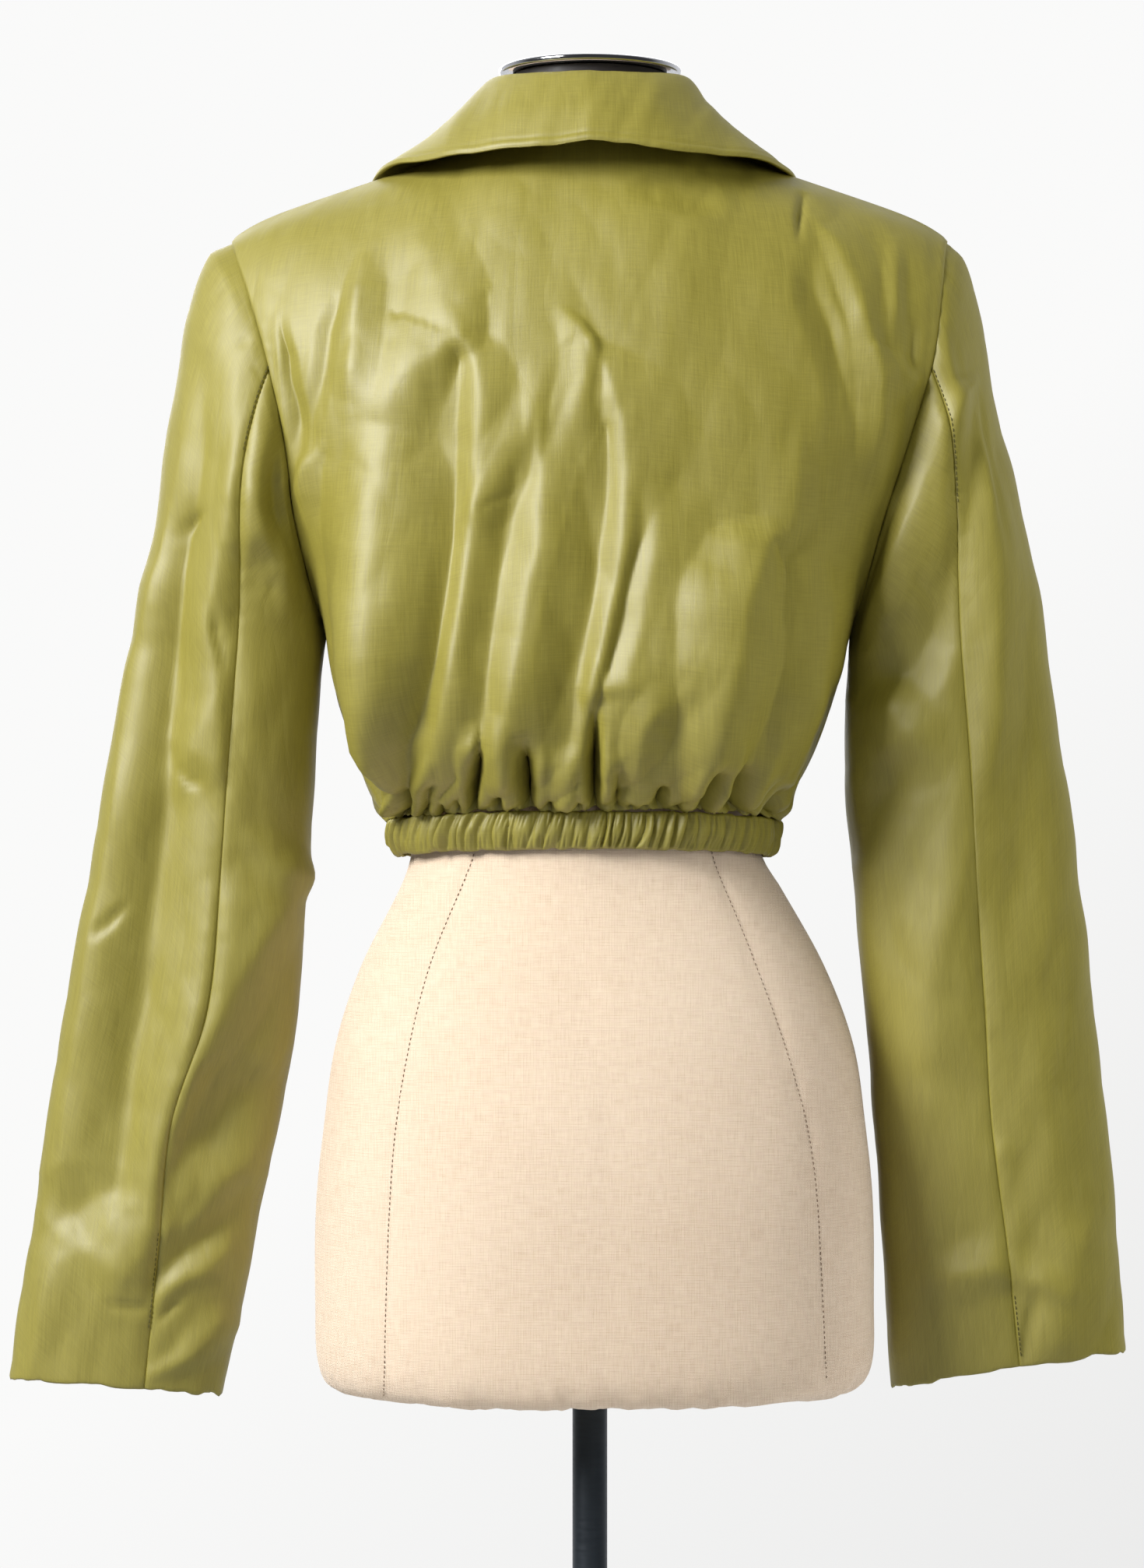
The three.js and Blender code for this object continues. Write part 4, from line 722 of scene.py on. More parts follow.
# %% Folds of the back
BACK_FOLDS = folds_from("""
soft dent under the collar, soft 0.5: 0 -3 -4 -4 0 | 9.3 14 16.7 15.8 9.3 | 7.4 10.2 12.1 11.2 7.4 | -22
  1439 -36 1444 -51 1444 -66 1438 -80 1427;
crest along the left blade plane, soft 0.25: 1 4 7 8 8 8 8 7 5 3 1 | 15.8 27 36.3 39.1 39.1 37.2 37.2 37.2
  32.6 27.9 23.2 | 23.2 27.9 27.9 15.8 11.2 20.5 27.9 37.2 41.9 41.9 27.9 | 101 1416 92 1392 83 1369 77
  1358 84 1352 94 1343 106 1332 118 1321 134 1308 146 1295 155 1281;
crest left of the wedge: 1 5 6 6 1 | 6.5 11.2 14.9 15.8 9.3 | 13 16.7 17.7 16.7 14 | 133 1407 137 1383 139
  1355 140 1332 142 1313;
trough by it: 0 -3 -3 -2 0 | 7.4 8.4 8.4 8.4 7.4 | 8.4 9.3 9.3 8.4 7.4 | 148 1383 155 1360 159 1332 165
  1304 167 1290;
trough beside the left armhole: 0 -5 -5 -6 -4 | 2.3 3.7 4.7 6.5 4.7 | 4.7 7.4 9.3 9.3 14 | 184 1366 181
  1346 180 1323 176 1302 181 1276;
crest beside the underarm: 1 4 6 5 | 7 7 6.5 4.7 | 3.7 11.6 18.6 20.9 | 158 1288 166 1280 173 1267 180
  1253;
main ridge from the left blade, soft 0.2: 1 5 6 6 6 5 4.5 4.5 4.5 4.5 5 5 3 | 3.7 10.2 13 15.8 15.8 12.1
  11.2 12.6 12.1 11.2 13 14 11.2 | 4.7 18.6 23.2 23.2 21.4 19.5 19.5 19.5 20.5 20.5 18.6 15.8 14 | 75 1354
  68 1345 64 1323 63 1300 65 1276 69 1251 72 1230 74 1206 78 1183 81 1160 86 1127 90 1106 96 1088;
valley left of the main ridge, soft 0.25: 0 -3 -4.5 -5 -5 -5 -5 -4 | 15.8 27.9 30.7 33.5 32.6 27.9 23.2
  15.8 | 9.3 12.1 13 12.6 12.6 12.1 12.1 12.1 | 79 1332 80 1295 81 1267 84 1239 87 1211 90 1183 94 1155 99
  1127;
broad ridge outside it, soft 0.35: 1 11 21 25 27 26 22 15 7 | 27.9 37.2 37.2 32.6 27.9 23.2 19.5 14.9 9.3
  | 26 37.2 39.1 36.3 30.7 21.4 12.1 7.4 4.7 | 117 1302 120 1274 121 1230 123 1192 123 1160 121 1137 119
  1111 114 1088 110 1069;
trough at the left side: 0 -3 -4 -3 | 6.5 6.5 5.6 4.7 | 8.4 7.4 6.5 4.7 | 141 1146 135 1116 127 1090 120
  1071;
soft ridge in the middle, soft 0.4: 0 3 5 4 2 | 14 16.7 18.6 14 9.3 | 6.5 9.3 15.8 16.7 14 | 27 1344 34
  1309 46 1281 57 1261 67 1251;
middle ridge, soft 0.2: 1 4 6 7.5 8 8 7.5 7 6 3 | 3.7 7.4 16.7 20.5 22.3 21.4 18.6 16.7 16.7 15.8 | 18.6
  23.2 26 30.7 34.4 34.4 31.6 27.9 20.5 7.4 | 29 1300 28 1276 28 1253 28 1230 32 1206 36 1183 42 1155 46
  1134 48 1111 48 1090;
valley left of the middle ridge, soft 0.25: 0 -2.5 -3.5 -4 -4 -4 -3.5 -2 | 5.6 14 16.7 17.7 17.7 16.7 15.8
  14 | 4.7 11.2 18.6 21.4 20.5 19.5 17.7 15.8 | 34 1295 42 1278 50 1255 52 1230 56 1206 59 1183 61 1155 64
  1130;
thin crease across: 0 -1.3 -1.1 0 | 1.9 1.9 1.9 1.9 | 2.3 2.3 2.3 2.3 | 68 1248 60 1253 49 1258 40 1269;
plane above the centre ridge, soft 0.3: 1 4 5 5 4 1 | 9.3 16.7 18.6 18.6 18.6 15.8 | 3.7 4.7 4.7 8.4 14 14
  | 14 1366 6 1358 0 1348 0 1332 5 1313 11 1295;
valley left of the centre ridge, soft 0.2: -1 -3 -4 -4.5 -4.5 -5 -5 -4 | 5.6 18.6 24.2 27.9 28.8 27.9 23.2
  16.7 | 3.7 9.3 12.1 13 12.6 11.2 9.3 7.4 | -12 1300 -10 1269 -7 1239 -4 1211 1 1183 5 1160 9 1134 12
  1111;
centre ridge, soft 0.2: 2 4 5 5.5 5 5 5 4.5 4.5 4.5 4.5 4.5 5 5 | 3.7 8.4 14 11.2 10.7 13 14.9 13 12.1 9.3
  6.5 6.5 7.4 6.5 | 6.5 23.2 35.3 37.2 35.3 18.6 7 5.1 5.1 5.1 4.7 4.7 4.7 4.7 | -2 1348 -11 1334 -17 1318
  -22 1300 -23 1276 -23 1253 -21 1230 -17 1209 -13 1188 -8 1162 -4 1144 -1 1123 0 1097 2 1072;
its second crest, soft 0.4: 0 4 6 6 6 6 2 | 14 12.1 12.6 13 13 14 12.1 | 27.9 32.6 34.9 37.2 32.6 26 18.6
  | -46 1267 -43 1244 -39 1220 -34 1192 -29 1167 -25 1146 -20 1127;
pressed patch over the centre gather: 1 3.5 1 | 5.6 6.5 5.6 | 23.2 26 23.2 | -3 1141 -12 1142 -22 1146;
edge of the right plane: 0 3 4 3 | 23.2 23.2 18.6 14 | 9.3 14 16.3 9.3 | -122 1295 -121 1272 -118 1248
  -114 1235;
crest over the right hollow, soft 0.3: 1 5 10 13 15 15 13 10 6 | 7.4 18.6 32.6 37.2 37.2 32.6 27.9 18.6 14
  | 2.3 9.3 18.6 23.2 28.8 30.7 27.9 21.4 14 | -114 1236 -105 1234 -98 1224 -92 1206 -86 1188 -82 1162 -78
  1137 -70 1111 -64 1088;
soft plane left of the hollow, soft 0.5: 0 3 4 2 | 27.9 27.9 27.9 23.2 | 11.2 15.8 18.6 18.6 | -79 1213
  -69 1186 -58 1158 -43 1134;
ridge down the right side: 0 4 6 8 8 6 3 | 23.2 23.2 21.4 21.4 18.6 15.8 11.2 | 18.6 14 14 13 11.2 9.3 6.5
  | -147 1216 -140 1188 -135 1160 -128 1137 -121 1116 -115 1095 -112 1074;
ridge from the right shoulder: 1 4 5 6 6 6 6 4 1 | 4.7 7.4 9.3 9.3 11.2 13 14 11.2 7.4 | 14 16.7 18.6 15.8
  9.3 14 16.7 14 9.3 | -137 1420 -144 1411 -153 1392 -160 1369 -166 1348 -172 1323 -172 1302 -168 1281
  -165 1267;
trough inside it: 0 -3 -4 -3 0 | 14 15.8 16.7 15.8 14 | 6.5 7.4 8.4 8.4 6.5 | -132 1411 -136 1383 -144
  1355 -152 1323 -158 1295;
crest at the right armhole: 2 5 5 2 | 6.5 18.6 20.5 14 | 7.4 10.2 11.2 7.4 | -170 1345 -180 1338 -192 1328
  -201 1317;
trough under the right shoulder: -2 -4 -1 | 4.7 5.6 3.7 | 3.3 3.7 2.8 | -127 1439 -126 1425 -125 1412;
soft light band: 0 3 3 1 | 7.4 8.4 8.4 7.4 | 7.4 8.4 8.4 7.4 | -182 1413 -180 1392 -179 1369 -178 1351;
soft trough by the armhole: 0 -3 -3 | 5.6 6.5 5.6 | 5.6 6.5 5.6 | -187 1372 -192 1355 -192 1337;
flap at the left: 2 4 5 4 | 5.6 8.4 8.4 5.6 | 4.7 9.3 14 14 | 95 1103 98 1090 101 1079 103 1068;
crest above the left gather: 2 6 6 4 | 10.2 11.2 8.4 5.6 | 2.8 2.8 2.8 2.8 | 67 1119 69 1108 71 1094 72
  1080;
bulge between the gathers: 2 5 5 3 | 10.2 12.1 12.1 9.3 | 9.3 9.3 7.4 6.5 | 55 1123 53 1104 50 1088 47
  1074;
narrow ridge right of the notch: 1 5 5 3 | 3.7 4.2 4.2 3.7 | 9.3 12.1 10.2 7.4 | 34 1108 32 1095 32 1083
  31 1074;
bulge left of the centre gather: 1 5 6 4 | 9.3 14 15.8 12.1 | 7.4 8.4 8.4 6.5 | 9 1106 11 1092 12 1083 13
  1074;
ridge right of the centre gather: 1 4 5 4 | 4.7 5.6 5.6 5.6 | 18.6 16.7 12.1 9.3 | -9 1123 -10 1104 -11
  1088 -13 1074;
curled crest, right of the centre: 1 4 6 6 3 | 15.8 15.8 14 12.1 8.4 | 9.3 14 18.6 16.7 11.2 | -54 1138
  -43 1133 -34 1125 -29 1111 -27 1090;
ridge right of the hollow: 1 5 6 | 11.2 9.3 7.4 | 8.4 8.4 6.5 | -67 1106 -63 1086 -60 1071;
ridge by the right gather: 2 5 6 5 | 8.4 8.4 6.5 5.6 | 5.6 5.6 5.6 5.6 | -87 1114 -83 1097 -77 1083 -71
  1070;
ridge beside the right side: 1 4 5 4 | 9.3 9.3 7.4 6.5 | 7.4 7.4 6.5 5.6 | -112 1125 -105 1106 -100 1090
  -95 1072
""")
# Where the elastic draws the cloth in: each of these starts at the band and runs up.
BAND_GATHERS = folds_from("""
deep: -4 -7 -6 0 | 4.9 6.5 | 8.1 13 | 119 1066 120 1076 124 1091 128 1104;
gather: -4 -6 -4 0 | 4.9 8.1 | 6.5 11.4 | 108 1066 108 1080 119 1096 126 1116;
short: -3 -3 0 | 4.9 4.9 | 4.9 4.9 | 98 1066 95 1083 90 1091;
deep: -5 -8 -7 0 | 4.9 8.1 | 6.5 9.8 | 69 1070 69 1080 68 1094 65 1110;
short: -3 -4 0 | 4.1 4.9 | 4.1 4.9 | 70 1070 71 1078 72 1085;
short: -3 -5 0 | 4.9 6.5 | 4.9 6.5 | 54 1070 54 1075 56 1078;
deep: -5 -8 -7 -2 | 6.5 13 | 6.5 9.8 | 35 1070 36 1081 38 1094 40 1107;
pinch: -2 -4 -1 | 4.9 4.9 | 4.1 4.1 | 22 1070 23 1075 24 1078;
deepest: -6 -10 -10 -6 0 | 4.9 9.8 | 8.1 9.8 | -3 1070 -3 1083 -3 1100 -3 1118 -2 1136;
gather: -3 -4 -2 0 | 6.5 9.8 | 6.5 9.8 | -17 1068 -16 1076 -17 1090 -20 1098;
gather: -4 -5 -3 0 | 4.9 6.5 | 6.5 8.1 | -39 1066 -41 1073 -44 1080 -47 1083;
gather: -5 -6 -5 0 | 4.9 8.1 | 9.8 14.7 | -62 1065 -68 1076 -73 1088 -80 1103;
deep: -5 -7 -6 0 | 6.5 9.8 | 6.5 9.8 | -82 1063 -85 1076 -88 1090 -90 1104;
gather: -4 -5 -3 0 | 4.9 6.5 | 4.9 6.5 | -102 1065 -107 1075 -111 1083 -115 1093;
fine: -2 -3 0 | 3.3 4.1 | 3.3 4.1 | 111 1066 111 1071 113 1076;
fine: -2 -3 0 | 3.3 4.1 | 3.3 4.1 | 89 1067 89 1071 87 1075;
fine: -2 -3 0 | 3.3 4.1 | 3.3 4.1 | 79 1068 79 1072 81 1076;
fine: -2 -2.5 0 | 3.3 3.3 | 3.3 3.3 | 45 1069 45 1072 46 1075;
fine: -2 -3 0 | 3.3 4.1 | 3.3 4.1 | 15 1069 15 1071 16 1075;
fine: -2 -3 0 | 3.3 4.1 | 3.3 4.1 | 6 1069 6 1073 5 1076;
fine: -2 -3 0 | 3.3 4.1 | 3.3 4.1 | -24 1067 -24 1070 -25 1075;
fine: -2 -3 0 | 3.3 4.1 | 3.3 4.1 | -33 1067 -32 1070 -31 1074;
fine: -2 -3 0 | 3.3 4.1 | 3.3 4.1 | -51 1066 -52 1070 -53 1073;
fine: -2 -3 0 | 3.3 4.1 | 3.3 4.1 | -72 1064 -74 1068 -76 1071;
fine: -2 -3 0 | 3.3 4.1 | 3.3 4.1 | -92 1063 -94 1068 -95 1071
""", GATHER_SOFT)
print(len(BACK_FOLDS), "folds and", len(BAND_GATHERS), "gathers on the back")


# %% Back panel
def panel_sides(p):
    """Distances along the cloth to the sides (first, last column) and to the ends (band, top)."""
    first, last = runs(p, 0)
    band, top = runs(p, 1)
    return first, last, band, top


def facing_behind(normal):
    return smooth((normal[..., 1] + 0.25) / 0.5)


def crumple(p, seed, height):
    """The small softness between the folds: long lumps down the cloth and a few across."""
    x, z = p[..., 0], p[..., 2]
    long_lumps = lumps(x + 0.15 * z, z, 13.0, 46.0, seed) * 0.5 + lumps(x, z, 7.0, 21.0, seed + 1) * 0.2
    # Where a soft lump changes sign its absolute value has a crisp line, like a pressed-in crease.
    creased = np.abs(lumps(x + 0.35 * z, z, 27.0, 71.0, seed + 3))
    creased = creased + np.abs(lumps(x - 0.5 * z, z, 33.0, 52.0, seed + 4))
    return height * (long_lumps + lumps(x - 0.6 * z, z, 31.0, 37.0, seed + 2) * 0.4 + creased * 1.3)


def band_tucks(p, band, seed):
    """The small tucks along the elastic, which die out within a finger's width."""
    s = runs(p, 0)[0]
    small = pleats(s, band / 30, (4.0, 10.0), seed, 3.0) * 3.4 - 2.2
    large = pleats(s, band / 60, (9.0, 26.0), seed + 1, 6.0) * 5.4 - 3.4
    return small * np.exp(-((band / 9) ** 2)) + large * np.exp(-((band / 30) ** 2))


def panel_relief(p, where, side, band, rest, folds, gathers, pull, seeds, trim=0.0):
    """How far a body panel stands out: its folds and gathers, the puff over the band, the seam."""
    tucks, puffs, lump, pucker = seeds
    lift = lambda lines, *foot: lift_of(where, lines, *foot).reshape(band.shape)
    out = lift(folds) * rest * smooth(band / 10 + 0.25)
    out += pull * lift(gathers, 1.5) * smooth(side / 8) * smooth(band / 3 + 0.2)
    out += band_tucks(p, band, tucks) * smooth(side / 8)
    puff = np.exp(-(((band - 10) / 7) ** 2)) * (1.6 + 1.4 * lumps(p[..., 0], band * 0, 11.0, 9.0, puffs))
    out += (puff + crumple(p, lump, 0.9) * smooth(band / 20)) * rest
    out += seam_dip(side) + puckers(p[..., 2], side, pucker) * smooth(side / 3) + trim
    return out[..., None]


def back_panel():
    half = np.concatenate([np.linspace(0, 0.985, 128), [0.991, 0.996, 1.0]])
    ups = even_ups(LEFT, True, 172)
    low, high = mix(0, ups[1], np.array([0.35, 0.7])), mix(ups[-2], 1, np.array([0.5]))
    ups = np.sort(np.concatenate([ups, low, high]))
    sides = []
    for sign in (RIGHT, LEFT):
        a, b = crossed(half, ups)
        p = panel_point(sign, True, a, b) * (sign, 1, 1)
        p = p.reshape(len(half), len(ups), 3)
        sides.append(p[::-1] if sign == RIGHT else p[1:])
    p = relaxed(np.concatenate(sides), 160)
    normal = turned_toward((0, 1, 0), grid_normals(p))
    first, last, band, top = panel_sides(p)
    side = np.minimum(first, last)
    where = wandering(as_seen(p.reshape(-1, 3)), 81)
    rest = smooth(side / 16) * smooth(top / 38)
    out = panel_relief(p, where, side, band, rest, BACK_FOLDS, BAND_GATHERS, 2.6, (31, 5, 11, 21))
    return wear(cloth_piece("back", p, p + normal * out, CLOTH, False, "back_panel"), olive)


back_panel()

# %% [markdown]
# ## The two fronts
# Each front is like half of the back, but it has a free edge: straight up from the band to where
# the lapel breaks, and from there along the lapel's roll to the neck. The right front laps over
# the left one, so it lies a little further out. Its folds come from the chest and from the band.

# %% Folds of the fronts
# As seen from before, on the wearer's left; the right front wears them mirrored, a bit uneven.
FRONT_FOLDS = folds_from("""
trough from the armhole to the chest: 0 -4 -5 -3 0 | 13 19.6 | 9.8 14.7 | 163 1345 152 1312 138 1280 118
  1252;
chest to side: 0 -4 -6 -5 -2 | 17.9 19.6 | 14.7 16.3 | 104 1262 110 1220 113 1175 110 1125;
crest beside it: 0 4 5 5 3 1 | 19.6 22.8 | 14.7 19.6 | 86 1235 86 1190 80 1150 70 1110 60 1085;
long trough inside: 0 -4 -5 -5 -4 | 14.7 13 | 13 13 | 64 1210 66 1170 62 1130 58 1085;
soft crest by the edge: 0 3 4 3 1 | 14.7 16.3 | 13 14.7 | 44 1230 46 1180 42 1130 38 1090;
side crest: 0 4 5 4 2 | 14.7 13 | 14.7 14.7 | 138 1215 134 1180 125 1140 112 1100;
side trough: 0 -4 -5 -4 | 11.4 11.4 | 11.4 11.4 | 146 1190 140 1150 130 1120 116 1085;
shoulder hollow: 0 -3 -3 0 | 22.8 29.3 | 19.6 26.1 | 150 1400 143 1375 140 1345 146 1315
""")
FRONT_GATHERS = folds_from("""
gather: -3 -5 -3 0 | 4.9 8.1 | 4.9 8.1 | 33 1069 34 1082 35 1096 37 1112;
gather: -2 -3 0 | 4.1 4.9 | 4.1 4.9 | 42 1069 42 1078 43 1088;
gather: -4 -7 -6 0 | 4.9 9.8 | 4.9 9.8 | 52 1069 52 1085 54 1108 57 1135;
gather: -2 -4 0 | 4.1 4.9 | 4.1 4.9 | 62 1069 63 1080 64 1092;
gather: -4 -6 -4 0 | 4.9 9.8 | 4.9 8.1 | 74 1069 75 1082 77 1098 80 1118;
gather: -4 -7 -6 0 | 6.5 9.8 | 6.5 9.8 | 88 1069 90 1088 93 1112 97 1140;
gather: -2 -4 0 | 4.1 4.9 | 4.1 4.9 | 98 1069 100 1080 102 1092;
gather: -4 -5 -4 0 | 4.9 8.1 | 4.9 8.1 | 106 1069 110 1084 115 1102 120 1122
""")
FRONT_OVERLAP = 15.0  # how far each front passes the centre
FRONT_LIFT = {LEFT: 0.0, RIGHT: 2.8}  # the right front lies over the left one
FRONT_EDGE = table(
    "z x",
    (1066, -15),
    (1110, -15),
    (1150, -15),
    (1185, -6),
    (1300, 27),
    (1390, 54.5),
    (1424, 65.5),
    (1440, 69.5),
    (1470, 70),
)
print(len(FRONT_FOLDS) + len(FRONT_GATHERS), "folds on each front")


# %% Front panels
def level(normal):
    flat = normal * (1, 1, 0)
    return flat / np.maximum(np.linalg.norm(flat, axis=-1, keepdims=True), 1e-9)


def overlap_at(sign, x, up):
    return FRONT_LIFT[sign] * (1 - smooth((x - FRONT_OVERLAP) / 40)) * smooth((0.8 - up) / 0.3)


def across_at(sign, up, x):
    """Where along each row of a front it passes the distance x from the centre."""
    low, high = np.full(len(up), -0.3), np.ones(len(up))
    for _ in range(24):
        middle = (low + high) / 2
        short = panel_point(sign, False, middle, up)[:, 0] < x
        low, high = np.where(short, middle, low), np.where(short, high, middle)
    return (low + high) / 2


def front_grid(sign, count, rows):
    ups = even_ups(sign, False, rows, 0.45)
    ups = np.sort(np.concatenate([ups, mix(0, ups[1], np.array([0.35, 0.7]))]))
    edge_x = between(FRONT_EDGE, "z", panel_point(sign, False, np.zeros(len(ups)), ups)[:, 2], "x")
    start = across_at(sign, ups, edge_x)
    shares = np.concatenate([[0, 0.004, 0.01], np.linspace(0.018, 0.985, count), [0.991, 0.996, 1.0]])
    u, up = np.meshgrid(shares, ups, indexing="ij")
    across = mix(np.broadcast_to(start, u.shape), 1, u)
    p = panel_point(sign, False, across.ravel(), up.ravel()).reshape(*u.shape, 3)
    return p, up


def front_panel(sign, name, stands_for):
    p, up = front_grid(sign, 92, 158)
    normal = turned_toward((0, -1, 0), grid_normals(p))
    edge, side, band, top = panel_sides(p)
    rest = smooth(side / 16) * smooth(top / 30) * smooth(edge / 30)
    where = p[..., [0, 2]].reshape(-1, 2) + (0 if sign == LEFT else 4, 0 if sign == LEFT else -6)
    seeds, trim = (34 + sign, 7, 31 + sign, 41 + sign), seam_dip(edge, 0.6, 0.9)
    out = panel_relief(p, where, side, band, rest, FRONT_FOLDS, FRONT_GATHERS, 2.1, seeds, trim)
    lapped = p + normal * out + level(normal) * overlap_at(sign, p[..., 0], up)[..., None]
    turn = np.array([sign, 1, 1])
    made = cloth_piece(name, p * turn, lapped * turn, CLOTH, sign == LEFT, stands_for)
    return wear(made, olive)


front_panel(LEFT, "front_of_the_left", "front_left")
front_panel(RIGHT, "front_of_the_right", "front_right")

# %% [markdown]
# ## The sleeves
# A tailored sleeve is two pieces: a wide top sleeve and a narrow under sleeve, joined behind and
# before. Together they make a tube that leaves the armhole and hangs down, flat as if pressed.
# The tube is given by sections; from the armhole to the first one a curve carries the cloth over.

# %% Sections of the sleeves
SLEEVE = {
    LEFT: table(
        "down x y width depth slope tip turn",
        (-1164, 217.4, 0, 57.4, 53, 0, 0, 0),
        (-1094, 226.5, -1, 61, 50, 0, 0, -2.5),
        (-1025, 235.5, -4, 64.5, 46, 0.02, 0, -5),
        (-955, 244.5, -9, 68.1, 43, 0.04, 0, -5),
        (-885, 255.9, -16, 67.9, 40, 0.06, 0.02, 4),
        (-814, 269.3, -24, 66.1, 37, 0.07, 0.05, -1),
        (-724, 286.9, -34, 63.7, 34, 0.085, 0.1, -8),
    ),
    RIGHT: table(
        "down x y width depth slope tip turn",
        (-1164, 214.1, 0, 59.3, 53, 0, 0, 14.5),
        (-1094, 218.2, -1, 65.6, 50, 0, 0, 15.5),
        (-1025, 225.1, -4, 66.3, 46, 0.03, 0, 13),
        (-955, 232.8, -9, 67.2, 43, 0.06, 0, 11),
        (-885, 240.1, -16, 68.1, 40, 0.09, 0.02, 9),
        (-814, 246.7, -24, 69.4, 37, 0.12, 0.05, 11.5),
        (-734.5, 253.1, -34, 70.4, 34, 0.158, 0.1, 14),
    ),
}
CAP_SHARE = 0.38  # how much of the way down counts as the cap
BACK_SEAM, FRONT_SEAM = 0.22, 0.84  # places round the armhole where the two pieces meet
print("the left cuff is about", round(2 * math.pi * math.hypot(63.7, 34) / 2**0.5), "mm round")


# %% Folds of the sleeves
LEFT_SLEEVE_FOLDS = folds_from("""
long trough down the outside: 0 -5 -8 -12 -15 -18 -19 -19 -19 -19 -19 -18 -16 -11 -3 | 6.5 12.1 13 12.1 13
  16.7 21.4 25.1 27 29.8 32.6 34.4 34.4 35.3 32.6 | 18.6 23.2 27.9 27.9 27.9 32.6 37.2 41.9 41.9 41.9 41.9
  37.2 32.6 27.9 23.2 | 234 1351 235 1295 240 1262 248 1230 253 1192 257 1160 259 1114 260 1072 263 1044
  266 1016 270 974 273 937 278 895 281 862 283 837;
notch in it: 0 -4 -1 | 6.5 7.4 5.6 | 4.7 5.6 5.6 | 230 1253 241 1246 252 1235;
pressed plane behind it: 0 3 5 5 4 2 | 9.3 18.6 27.9 27.9 23.2 18.6 | 14 18.6 23.2 23.2 18.6 14 | 213 1341
  215 1295 219 1248 224 1211 231 1183 234 1155;
small dark crease: 0 -3.5 -1 | 3.7 4.7 2.8 | 4.7 6.5 3.7 | 227 1200 224 1178 219 1156;
crest down to the notch: 1 5 7 3 | 18.6 27.9 27.9 18.6 | 7.4 20.9 32.6 23.2 | 220 1154 231 1126 241 1104
  249 1092;
notch under it: -2 -3 0 | 4.7 5.6 4.7 | 4.7 6.5 4.7 | 249 1092 239 1087 229 1090;
crest round the armhole hollow: 1 7 10 10 3 | 18.6 23.2 26 26 18.6 | 5.6 14 15.8 15.8 11.2 | 192 1310 198
  1283 200 1260 197 1238 189 1221;
hollow by the armhole: 0 -5 -6 0 | 4.7 8.4 8.4 6.5 | 4.7 5.6 7.4 6.5 | 188 1297 190 1272 189 1251 182 1230;
crease to the underarm: 0 3 3 0 | 7.4 9.3 9.3 6.5 | 7.4 9.3 9.3 6.5 | 180 1251 184 1234 182 1211 180 1183;
tuck by the seam: 0 -1.2 0 | 2.8 2.8 2.8 | 2.3 2.3 2.3 | 203 1333 199 1330 195 1326;
second tuck by the seam: 0 -1.2 0 | 3.7 3.7 3.7 | 2.8 2.8 2.8 | 215 1349 207 1352 199 1356;
elbow plane: 3 8 9 9 10 10 9 7 3 | 27.9 41.9 46.5 46.5 41.9 37.2 32.6 26 18.6 | 9.3 23.2 27.9 27.9 23.2
  16.7 12.1 9.3 8.4 | 174 1029 189 1006 206 986 220 960 232 939 245 911 254 881 259 855 260 829;
top of the elbow plane: 0 3 5 4 | 9.3 14 18.6 18.6 | 9.3 18.6 23.2 23.2 | 209 1057 197 1047 184 1037 173
  1031;
crease at the elbow: 0 -3 -3 0 | 4.7 4.7 4.7 3.7 | 4.7 5.6 4.7 3.7 | 280 1016 288 1006 295 997 300 990;
crease to the seam: -3 -8 -9 -8 -2 | 18.6 32.6 37.2 32.6 23.2 | 14 23.2 27.9 27.9 18.6 | 182 911 198 903
  213 893 231 875 247 860;
wedge over the cuff: -2 -7 -7 -2 | 14 27.9 27.9 18.6 | 9.3 20.5 25.1 18.6 | 279 844 299 838 312 830 321
  820;
crest at the seam: 4 6 6 2 | 23.2 27.9 27.9 18.6 | 9.3 16.7 21.4 18.6 | 258 819 269 811 278 797 284 780;
tuck at the slit: 0 -2.5 -2 0 | 2.8 3.3 3.3 2.8 | 3.7 4.7 4.7 3.7 | 262 774 272 774 283 776 293 779;
trough right of the slit: -2 -6 -7 -5 | 14 20.5 23.2 23.2 | 7.4 14 16.7 16.7 | 257 793 241 806 220 822 203
  840;
crest beside the slit: 1 4 5 3 | 6.5 9.3 11.2 9.3 | 4.7 9.3 14 14 | 260 775 245 788 231 798 215 811;
small tuck beside the slit: 0 -2.5 -2 0 | 2.8 3.3 3.3 2.8 | 2.8 3.7 3.7 2.8 | 260 762 254 768 246 773 238
  776;
lower crest: 1 4 5 4 | 7.4 12.1 15.8 15.8 | 4.7 7.4 11.2 11.2 | 266 731 248 742 233 754 220 769;
outer plane by the cuff: 0 2 3 2 | 9.3 11.2 11.2 11.2 | 11.2 14 14 14 | 315 811 322 788 327 765 330 742
""")
